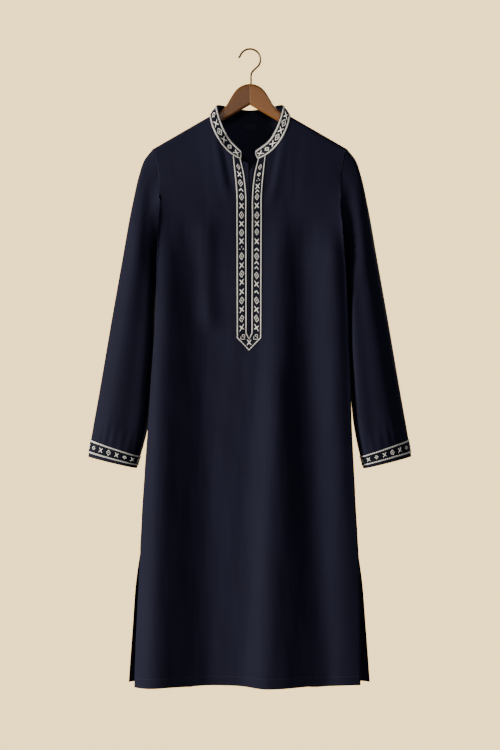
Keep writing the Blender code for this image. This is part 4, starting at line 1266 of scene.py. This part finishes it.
# height on the leg, what is worked there, and its size
leftMotifs = (
    (-0.2360, "diamond", 0.82),
    (-0.2510, "cross", 0.95),
    (-0.2680, "diamond", 1.0),
    (-0.2815, "chevron", 1.0),
    (-0.2955, "diamond", 1.0),
    (-0.3135, "cross", 1.0),
    (-0.3320, "diamond", 1.0),
    (-0.3495, "cross", 1.0),
    (-0.3670, "diamond", 1.0),
    (-0.3840, "cross", 1.0),
    (-0.3985, "dots", 1.0),
    (-0.4140, "diamond", 1.0),
    (-0.4320, "cross", 1.0),
    (-0.4490, "diamond", 1.0),
    (-0.4655, "cross", 1.0),
    (-0.4845, "cross", 1.0),
    (-0.5020, "diamond", 1.0),
    (-0.5200, "cross", 1.0),
    (-0.5380, "diamond", 1.0),
    (-0.5560, "cross", 1.0),
)
rightMotifs = (
    (-0.2365, "diamond", 0.8),
    (-0.2510, "flower", 0.85),
    (-0.2620, "dots", 0.8),
    (-0.2745, "cross", 0.95),
    (-0.2840, "chevron", 0.9),
    (-0.2955, "diamond", 0.9),
    (-0.3130, "cross", 1.0),
    (-0.3325, "diamond", 1.0),
    (-0.3490, "cross", 1.0),
    (-0.3655, "diamond", 0.9),
    (-0.3845, "cross", 1.0),
    (-0.4005, "chevron", 1.0),
    (-0.4145, "diamond", 1.0),
    (-0.4270, "chevron", 1.0),
    (-0.4370, "chevron", 0.9),
    (-0.4525, "diamond", 0.95),
    (-0.4695, "cross", 1.0),
    (-0.4850, "chevron", 1.0),
    (-0.5020, "diamond", 1.0),
    (-0.5200, "cross", 1.0),
    (-0.5380, "diamond", 1.0),
    (-0.5560, "cross", 1.0),
)


def placketLeg(side):  # rows from the opening's edge outwards, columns from the neck down and on to the point
    share = np.linspace(0.0, 1.0, placketBand["rowsAcross"])[:, None]
    topX, top = neckTop(placket["neckTurn"] - placket["neckReach"] * share, True)
    low = placket["slotBottom"] + (placket["innerTip"] - placket["slotBottom"]) * share
    way = np.linspace(0.0, 1.0, placketBand["columnsDown"])
    z = top + (low - top) * way
    inner, outer = at(placketSizes, "inner", z), at(placketSizes, "outer", z)
    x = inner + (outer - inner) * share
    x = x + (topX - x[:, :1]) * (1.0 - ramp((top - z) / placket["turnsDown"]))
    x = side * x + placket["x"]
    turn = np.linspace(0.0, 1.0, placketBand["pointColumns"])[1:]
    tipZ = placket["innerTip"] + (placket["outerTip"] - placket["innerTip"]) * share
    pointX = x[:, -1:] + (placket["x"] + side * 0.0001 - x[:, -1:]) * turn
    pointZ = z[:, -1:] + (tipZ - z[:, -1:]) * turn
    x, z = np.concatenate([x, pointX], axis=1), np.concatenate([z, pointZ], axis=1)
    return np.stack([x, frontY(x, z), z], axis=2)


def alongAt(band, height):  # how far along a leg this height is
    middle = band["grid"][len(band["grid"]) // 2]
    return float(np.interp(-height, -middle[:, 2], band["along"]))


def onFront(up, across, lift):  # onto the ground where the legs turn, by height and x
    y = frontY(across, up) - cloth["groundLift"] - lift
    return np.stack([across, y, up], axis=-1)


trim = []
for side, word, rows in ((-1, "Left", leftMotifs), (1, "Right", rightMotifs)):
    leg = movedOut(placketLeg(side), -side, cloth["groundLift"])
    name = "placketGround" + word
    piece = sheetPiece(name, leg, bandMap(leg), cloth["groundWall"], bandGround, flip=side > 0)
    settle(piece, "embroidered_band", "placket_border_" + word.lower())
    trim.append(piece)
    band = bandOf(leg, -side, placketBand["width"])
    lines = levelLines(band["along"][-1], 60, placketBand["braid"])
    parts = [braidPart(line, onto(band), width=placketBand["braidWidth"]) for line in lines]
    braids = threadPiece("placketBraid" + word, parts, whiteBraid)
    spots = [(alongAt(band, height), 0.0, 0.0, size, motif) for height, motif, size in rows]
    motifParts = [motifPart(spots, onto(band))]
    for up, across, *rest in (placketBand["cornerMotif"], placketBand["tipMotif"])[: 2 if side > 0 else 1]:
        motifParts.append(motifPart([(up, placket["x"] + side * across, *rest)], onFront))
    stitched = threadPiece("placketMotifs" + word, motifParts, whiteThread)
    trim += [settle(braids, "embroidered_band"), settle(stitched, "embroidered_band")]

strips = {
    "top": -0.2245,
    "bottom": -0.5860,
    "rows": 90,
    "columns": 25,
    "overlap": 0.0090,
    "corner": 0.0045,
    "wall": 0.0006,
    "cornerShare": 1.6,  # the width over the corner's own
    "cornerRounds": {-1: 1.0, 1: 0.3},  # how much of the corner is rounded on each strip
    "opensOver": 0.035,
    "swellsOver": 0.0025,
    # from the placket's middle to the inner edge, how far that moves as the neck opens, how far behind the
    # front the strip lies, and how far it swells forward
    "left": (-0.0010, -0.0005, 0.0017, 0.0020),
    "right": (-0.0040, 0.0175, 0.0032, 0.0026),
}


def placketStrip(side):  # the left strip passes in front of the right one, and its top corner is rounded
    share = np.linspace(0.0, 1.0, strips["columns"])
    down = np.linspace(0.0, 1.0, strips["rows"])[:, None]
    near = np.clip(1.0 - share * strips["cornerShare"], 0.0, 1.0)
    top = strips["top"] - strips["corner"] * (1.0 - np.sqrt(1.0 - near**2)) * strips["cornerRounds"][side]
    z = top + (strips["bottom"] - top) * down
    outer = placket["x"] + side * (at(placketSizes, "inner", z) + strips["overlap"])
    opened = ramp((z - placket["openingCloses"]) / strips["opensOver"])
    edge, moved, behind, fullness = strips["left" if side < 0 else "right"]
    inner = placket["x"] + edge + moved * opened
    x = inner + (outer - inner) * share
    within = at(placketSizes, "inner", z) - np.abs(x - placket["x"])  # they swell forward between the legs
    return np.stack([x, frontY(x, z) + behind - fullness * ramp(within / strips["swellsOver"]), z], axis=2)


for side, word in sides:
    grid = placketStrip(side)
    piece = sheetPiece("placketStrip" + word, grid, panelMap(grid), strips["wall"], navyCloth, flip=side < 0)
    trim.append(settle(piece, "navy_cloth", "placket_strip_" + word.lower()))
    edge = grid[:, 0] + (grid[:, 1] - grid[:, 0]) * 1.2
    edge = edge + np.array([0.0, -0.0001, 0.0])
    seam = threadPiece("placketStripStitches" + word, [flatStitches(edge[2:])], sewingThread)
    trim.append(settle(seam, "navy_cloth"))
print("placket made")

collarBand = {
    "firstShare": 0.035,
    "lastShare": 0.945,
    "rows": 9,
    "width": 0.0223,
    "lowBraid": -0.0091,  # from the band's middle
    "highBraid": 0.0089,
    "endInset": 0.0021,
    "endRadius": 0.0030,
    "firstMotif": {-1: 0.0145, 1: 0.0120},  # from each front end
    "pitch": {-1: 0.0184, 1: 0.0160},
    "cycle": {
        -1: ("cross", "flower", "cross", "diamond"),
        1: ("cross", "flower", "cross", "diamond", "cross", "diamond"),
    },
    "size": 1.12,
    "motifsOff": -0.0003,  # from the band's middle
}


def resampledRows(grid, first, last, rows):  # rows of a grid at even shares between two of its own
    share = np.linspace(first, last, rows) * (len(grid) - 1)
    column = np.arange(grid.shape[1])
    return sampled(grid, np.repeat(share[:, None], len(column), 1), np.repeat(column[None], rows, 0))


def roundedLoop(length, low, high, inset, radius):  # along both edges and round both ends of a band
    turn = np.linspace(0.0, math.pi / 2, 7)
    right = length - inset
    curve = np.stack([right - radius + radius * np.cos(turn), high - radius + radius * np.sin(turn)], axis=1)
    left = np.stack([inset + radius - radius * np.sin(turn), high - radius + radius * np.cos(turn)], axis=1)
    lowLine = np.stack([np.linspace(inset, right, 200), np.full(200, low)], axis=1)
    highLine = np.stack([np.linspace(right - radius, inset + radius, 200), np.full(200, high)], axis=1)
    return np.concatenate([lowLine, curve, highLine[1:-1], left])


ground = resampledRows(neckBand, collarBand["firstShare"], collarBand["lastShare"], collarBand["rows"])
ground = movedOut(ground, 1, cloth["groundLift"])
collarGround = sheetPiece("collarGround", ground, bandMap(ground), cloth["groundWall"], bandGround)
settle(collarGround, "embroidered_band", "collar_border")
band = bandOf(ground, 1, collarBand["width"])
length = band["along"][-1]
loop = roundedLoop(length, *(collarBand[key] for key in ("lowBraid", "highBraid", "endInset", "endRadius")))
collarBraid = threadPiece("collarBraid", [braidPart(loop, onto(band), "closed")], whiteBraid)
spots = []
for side in (-1, 1):
    place, index = collarBand["firstMotif"][side], 0
    while place < length / 2 - collarBand["pitch"][side] * 0.4:
        names = collarBand["cycle"][side]
        along = place if side < 0 else length - place
        spots.append((along, collarBand["motifsOff"], 0.0, collarBand["size"], names[index % len(names)]))
        place += collarBand["pitch"][side]
        index += 1
collarMotifs = threadPiece("collarMotifs", [motifPart(spots, onto(band))], whiteThread)
settle(collarBraid, "embroidered_band")
settle(collarMotifs, "embroidered_band")

cuffBand = {
    "braid": 0.0112,  # from the band's middle
    "motifs": 16,  # a whole number of cycles
    "cycle": ("cross", "flower", "cross", "diamond"),
    "size": 0.90,
    "turn": 90.0,
}
cuffTrim = {}
for side, word in sides:
    shares = sleeveShares()
    first = int(np.argmin(np.abs(shares - sleeve["bandStart"])))
    last = int(np.argmin(np.abs(shares - sleeve["bandEnd"])))
    rings = sleeves[side][first : last + 1]
    closed = np.concatenate([rings[:, -2:], rings, rings[:, :2]], axis=1)
    lifted = movedOut(closed, -side, cloth["groundLift"])[:, 2:-1]
    name = "cuffGround" + word
    uv = clothMap(lifted)
    piece = sheetPiece(name, lifted[:, :-1], uv, cloth["groundWall"], bandGround, wrap=True, flip=side > 0)
    settle(piece, "embroidered_band", "cuff_border_" + word.lower())
    width = float(np.linalg.norm(np.diff(lifted[:, 5], axis=0), axis=1).sum())
    band = bandOf(lifted, -side, width)
    length = band["along"][-1]
    mapping = onto(band, ring=True)
    parts = [braidPart(line, mapping, "round") for line in levelLines(length, 200, cuffBand["braid"])]
    braids = threadPiece("cuffBraid" + word, parts, whiteBraid)
    pitch = length / cuffBand["motifs"]
    names = cuffBand["cycle"] * (cuffBand["motifs"] // len(cuffBand["cycle"]))
    turn, size = cuffBand["turn"], cuffBand["size"]
    spots = [((index + 0.5) * pitch, 0.0, turn, size, motif) for index, motif in enumerate(names)]
    stitched = threadPiece("cuffMotifs" + word, [motifPart(spots, mapping)], whiteThread)
    cuffTrim[side] = [piece, settle(braids, "embroidered_band"), settle(stitched, "embroidered_band")]
print("collar and cuffs made")

label = {
    "left": -0.0120,
    "right": 0.0140,
    "top": 0.0015,
    "bottom": 0.0145,
    "wall": 0.0006,
    "off": 0.0012,  # from the cloth behind it to its face, and how far its middle bellies out
    "belly": 0.0006,
}
across, down = np.meshgrid(
    np.linspace(label["left"], label["right"], 14),
    hang["neckZ"] - hang["backNeckDrop"] - np.linspace(label["top"], label["bottom"], 8),
)
belly = label["belly"] * np.sin(math.pi * (across - label["left"]) / (label["right"] - label["left"]))
labelGrid = np.stack([across, backY(across, down) - cloth["wall"] - label["off"] - belly, down], axis=2)
labelPiece = sheetPiece("neckLabel", labelGrid, panelMap(labelGrid), label["wall"], labelCloth)
settle(labelPiece, "label_cloth", "neck_label")
inset = labelGrid[[1, 1, 6, 6, 1], [1, 12, 12, 1, 1]] + np.array([0.0, -0.0002, 0.0])
labelStitches = threadPiece("labelStitches", [flatStitches(inset)], sewingThread)
settle(labelStitches, "label_cloth")

seams = {
    "hem": 0.0180,  # above the hem's edge
    "slit": 0.0110,  # in from the slit's edge
    "armhole": 0.0030,
    "shoulder": 0.0035,
    "cuff": 0.9935,
}


def lineOn(grid, outward, row, column):  # a line through fractional rows and columns, and its normals
    row, column = np.broadcast_arrays(np.asarray(row, float), np.asarray(column, float))
    return sampled(grid, row, column), sampled(gridNormals(grid, outward), row, column)


def seamParts(grid, outward, isFront):  # hem, slits, armholes and shoulders of one panel
    rows, columns = grid.shape[:2]
    edgeSteps = panelDetail["sideColumns"]
    hemShare = 1.0 - seams["hem"] / (hemStart - hang["frontHem"])
    hemRows = np.arange(len(hemShares) + 1)
    hemRow = rows - len(hemRows) + np.interp(hemShare, [0.0, *hemShares], hemRows)
    parts = [stitchPart(*lineOn(grid, outward, hemRow, np.linspace(0.5, columns - 1.5, 300)))]
    slitTopRow = int(np.argmax(grid[:, 0, 2] < hang["slitTop"]))
    for edge, last in ((0, edgeSteps), (columns - 1, columns - 1 - edgeSteps)):
        sign = 1 if edge == 0 else -1
        run = np.linalg.norm(grid[:, edge] - grid[:, edge + sign], axis=1)
        down = np.arange(slitTopRow, rows - 4)
        parts.append(stitchPart(*lineOn(grid, outward, down, edge + sign * seams["slit"] / run[down])))
        arm = np.arange(3, armholeRows)
        parts.append(stitchPart(*lineOn(grid, outward, arm, edge + sign * seams["armhole"] / run[arm])))
        if not isFront:
            wide = np.linspace(edge, last, 80)
            rowOf = np.interp(seams["shoulder"], edgeDepths, np.arange(len(edgeDepths)))
            parts.append(stitchPart(*lineOn(grid, outward, rowOf, wide)))
    return parts


frontSeams = threadPiece("frontSeams", seamParts(front, 1, True), sewingThread)
backSeams = threadPiece("backSeams", seamParts(back, -1, False), sewingThread)
settle(frontSeams, "navy_cloth")
settle(backSeams, "navy_cloth")
for side, word in sides:
    ring = int(np.argmin(np.abs(sleeveShares() - seams["cuff"])))
    closed = np.concatenate([sleeves[side][:, -1:], sleeves[side], sleeves[side][:, :1]], axis=1)
    around = np.linspace(1.0, closed.shape[1] - 1.01, 240)
    cuffSeam = stitchPart(*lineOn(closed, -side, ring, around))
    piece = threadPiece("cuffSeam" + word, [cuffSeam], sewingThread)
    cuffTrim[side].append(settle(piece, "navy_cloth"))
print("sewing made")

hanger = {
    "halfThickness": 0.0053,
    "depth": 0.0190,
    "tip": 0.1850,
    "crownEnd": 0.0620,
    "sections": 70,
    "edgeSteps": 9,
    "tipSteps": 8,
    "tipRound": 0.006,
    "mitre": 0.00002,  # from the middle to each half
    "chamfer": 0.0004,
}
crown = tableOf(  # how far the top stands above the arms' straight top, by the distance from the middle
    "x above",
    (0.000, 0.0208),
    (0.005, 0.0231),
    (0.012, 0.0253),
    (0.020, 0.0262),
    (0.027, 0.0246),
    (0.034, 0.0195),
    (0.040, 0.0131),
    (0.046, 0.0060),
    (0.052, 0.0018),
    (0.062, 0.0000),
)
hook = {
    "wire": 0.0020,
    "radius": 0.0210,
    "start": math.radians(160.0),
    "turn": math.radians(195.0),
    "tip": (-0.0236, -0.0162),  # the free end, turned a little outwards
    "shank": ((0.0121, -0.0362), (0.0068, -0.0413), (0.0037, -0.0452), (0.0023, -0.0495), (0.0020, -0.0560)),
    "clear": 0.0003,  # from the wood
    "rings": 150,
    "around": 16,
}


def hangerTop(x):  # the shoulder's slope under the cloth's fold, with the crown added near the middle
    line = hang["neckZ"] + (hang["neckHalf"] - x) * math.tan(hang["slope"])
    line = line - (hang["foldRadius"] - hanger["halfThickness"]) / math.cos(hang["slope"])
    return line + np.where(x < hanger["crownEnd"], at(crown, "above", np.minimum(x, hanger["crownEnd"])), 0.0)


def hangerBottom(x):  # straight up from the tip's top at the slope, less the depth
    line = hangerTop(np.array(hanger["tip"])) + (hanger["tip"] - x) * math.tan(hang["slope"])
    return line - hanger["depth"] / math.cos(hang["slope"])


def armPoints(side):  # outlines across the arm from the mitre to the tip: flat faces between two round edges
    joined = hanger["mitre"] + hanger["chamfer"] * np.array([0.0, 0.0, 1.0, 1.4])
    x = np.concatenate([joined, np.linspace(0.003, hanger["tip"] - hanger["tipRound"], hanger["sections"])])
    size = np.concatenate([[0.0, 0.97, 1.0, 1.0], np.ones(hanger["sections"])])
    bend = np.linspace(0.0, math.pi / 2, hanger["tipSteps"] + 1)[1:]
    x = np.concatenate([x, hanger["tip"] - hanger["tipRound"] + hanger["tipRound"] * np.sin(bend)])
    size = np.concatenate([size, np.cos(bend) ** 0.6])
    top, bottom = hangerTop(x), hangerBottom(x)
    middle, half = (top + bottom) / 2, (top - bottom) / 2 * size
    turn = np.linspace(math.pi / 2, 0.0, hanger["edgeSteps"])
    y = hanger["halfThickness"] * np.cos(turn)
    rise = hanger["halfThickness"] / math.cos(hang["slope"]) * (1.0 - np.sin(turn))
    scale = np.minimum(1.0, half / rise[-1])[:, None]
    flat = np.linspace(1.0, -1.0, 8)[1:-1]
    upper = middle[:, None] + half[:, None] - rise * scale
    lower = middle[:, None] - half[:, None] + rise * scale
    face = middle[:, None] + (half[:, None] - rise[-1] * scale) * flat
    down, up = np.concatenate([upper, face, lower[:, ::-1]], axis=1), [lower[:, 1:], face[:, ::-1]]
    zs = np.concatenate([down, *up, upper[:, ::-1][:, :-1]], axis=1)
    outer = np.full(len(flat), y[-1])
    ys = np.concatenate([y, outer, y[::-1], -y[1:], -outer, -y[::-1][:-1]])
    thin = np.concatenate([[0.0, 0.95], np.ones(len(x) - 2 - hanger["tipSteps"]), 0.25 + 0.75 * np.cos(bend)])
    thin[-1] = 0.0
    ys = ys[None] * thin[:, None]
    return np.stack([side * np.broadcast_to(x[:, None], zs.shape), ys, zs], axis=2)


def merged(piece):  # closes poles and lets the faces of a closed shape point outwards
    shape = bmesh.new()
    shape.from_mesh(piece.data)
    bmesh.ops.remove_doubles(shape, verts=shape.verts, dist=1e-6)
    bmesh.ops.recalc_face_normals(shape, faces=shape.faces)
    shape.to_mesh(piece.data)
    shape.free()
    return piece


for side, word, finish in ((-1, "Left", woodLeft), (1, "Right", woodRight)):
    grid = armPoints(side)
    piece = sheetPiece("hangerArm" + word, grid, clothMap(grid, wrap=True), 0.0, finish, wrap=True)
    settle(merged(piece), "hanger_wood", "hanger_arm_" + word.lower())

angle = hook["start"] - hook["turn"] * np.linspace(0.0, 1.0, 60)
circleZ = hook["wire"] - hook["radius"] + hook["radius"] * np.sin(angle)
circle = np.stack([hook["radius"] * np.cos(angle), circleZ], axis=1)
wood = float(hangerTop(np.array(0.0))) + hook["clear"]
line = np.concatenate([[hook["tip"]], circle, np.array(hook["shank"]), [[hook["shank"][-1][0], wood]]])
gone = lengthAlong(line)
where = np.linspace(0.0, gone[-1], hook["rings"])
tip = hook["wire"] * (1.0 - np.cos(np.linspace(0.0, math.pi / 2, 6)[:-1]))
where = np.concatenate([tip, where[where > hook["wire"]]])
centre = np.stack([at({"gone": gone, "place": column}, "place", where) for column in line.T], axis=1)
tangent = np.gradient(centre, axis=0)
tangent /= np.linalg.norm(tangent, axis=1, keepdims=True)
around = np.arange(hook["around"]) * 2 * math.pi / hook["around"]
radius = hook["wire"] * np.sqrt(1.0 - np.clip(1.0 - where / hook["wire"], 0.0, 1.0) ** 2)
radius[-1] = hook["wire"]
x = centre[:, :1] - tangent[:, 1:] * radius[:, None] * np.cos(around)
z = centre[:, 1:] + tangent[:, :1] * radius[:, None] * np.cos(around)
y = radius[:, None] * np.sin(around)
tube = np.stack([x, np.broadcast_to(y, x.shape), z], axis=2)
tube = np.concatenate([tube, np.repeat(tube[-1:].mean(axis=1, keepdims=True), hook["around"], axis=1)])
hookPiece = sheetPiece("hangerHook", tube, clothMap(tube, wrap=True), 0.0, agedBrass, wrap=True)
settle(merged(hookPiece), "hook_brass", "hanger_hook")
print("hanger made")


studio = {
    "backdrop": (2.70, 1.89, 0.885),
    "ambient": (0.93, 0.96, 1.0),
    "ambientStrength": 0.17,
    "floorZ": -1.66,
    "floorRadius": 0.95,
    "fadeStarts": 0.35,
    "floorDark": (0.70, 0.65, 0.57),
    "floorLight": (0.80, 0.74, 0.66),
    "cameraPlace": (0.0, -3.2, -0.65),
    "lens": 76.8,
    # a narrow light at the inside of the back through the neck, under the hanger and over the collar
    "neckLight": {
        "place": (-0.30, -2.6, 0.05),
        "aim": (0.0, 0.045, -0.172),
        "spread": math.radians(3.0),
        "soft": 0.9,
        "size": 0.12,
        "power": 330.0,
    },
    "lights": (
        # name, place, aim, width, height, power, colour
        ("keyLight", (-5.16, -2.29, -0.40), (0.0, 0.0, -0.60), 1.5, 1.5, 713.0, (1.0, 0.96, 0.92)),
        ("fillLight", (2.6, -2.4, -0.2), (0.0, 0.0, -0.70), 1.8, 1.8, 14.0, (0.86, 0.92, 1.0)),
        ("backLight", (1.6, 2.6, 0.9), (0.0, 0.0, -0.60), 1.5, 1.5, 68.0, (1.0, 0.97, 0.93)),
    ),
}

world = bpy.data.worlds.new("studio")
world.use_nodes = True
bpy.context.scene.world = world
tree = world.node_tree
tree.nodes.clear()
seen = addNode(tree, "ShaderNodeBackground", {0: (*studio["backdrop"], 1.0), 1: 1.0})
lit = addNode(tree, "ShaderNodeBackground", {0: (*studio["ambient"], 1.0), 1: studio["ambientStrength"]})
ray = addNode(tree, "ShaderNodeLightPath")
inputs = {0: ray.outputs["Is Camera Ray"], 1: lit.outputs[0], 2: seen.outputs[0]}
both = addNode(tree, "ShaderNodeMixShader", inputs)
addNode(tree, "ShaderNodeOutputWorld", {0: both.outputs[0]})

ringCount, spokes = 24, 96
distance = np.linspace(0.0, 1.0, ringCount)[:, None] * studio["floorRadius"]
spoke = np.arange(spokes) * 2 * math.pi / spokes
level = np.full((ringCount, spokes), studio["floorZ"])
disc = np.stack([distance * np.cos(spoke), distance * np.sin(spoke), level], axis=2)
paper, tree, shader = finishOf("palePaper", {"Roughness": 0.9, "Specular IOR Level": 0.1})
flat = {0: objectPlace(tree), 1: (1.0, 1.0, 0.0)}
far = addNode(tree, "ShaderNodeVectorMath", flat, operation="MULTIPLY").outputs[0]
far = addNode(tree, "ShaderNodeVectorMath", {0: far}, operation="LENGTH").outputs["Value"]
inputs = {0: far, 1: studio["fadeStarts"], 2: studio["floorRadius"] * 0.98, 3: 1.0, 4: 0.0}
fade = addNode(tree, "ShaderNodeMapRange", inputs, interpolation_type="SMOOTHSTEP")
colour = colourRamp(tree, wornTone(tree, 0.3, 0.1), studio["floorDark"], studio["floorLight"])
tree.links.new(colour, shader.inputs["Base Color"])
tree.links.new(fade.outputs[0], shader.inputs["Alpha"])
floor = merged(sheetPiece("floor", disc, clothMap(disc, wrap=True), 0.0, paper, wrap=True))


def aimed(name, data, place, aim):  # a lamp or camera at a place, looking at its aim
    thing = bpy.data.objects.new(name, data)
    bpy.context.scene.collection.objects.link(thing)
    thing.location = place
    direction = Vector(aim) - Vector(place)
    thing.rotation_euler = direction.to_track_quat("-Z", "Y").to_euler()
    return thing


neck = studio["neckLight"]
spot = bpy.data.lights.new("neckLight", "SPOT")
spot.energy = neck["power"]
spot.spot_size = neck["spread"]
spot.spot_blend = neck["soft"]
spot.shadow_soft_size = neck["size"]
aimed("neckLight", spot, neck["place"], neck["aim"])
for name, place, aim, width, height, power, colour in studio["lights"]:
    lamp = bpy.data.lights.new(name, "AREA")
    lamp.shape = "RECTANGLE"
    lamp.size = width
    lamp.size_y = height
    lamp.energy = power
    lamp.color = colour
    aimed(name, lamp, place, aim)

view = bpy.data.cameras.new("camera")
view.lens = studio["lens"]
view.sensor_width = 36.0
x, y, z = studio["cameraPlace"]
bpy.context.scene.camera = aimed("camera", view, (x, y, z), (x, 0.0, z))
print("studio made")
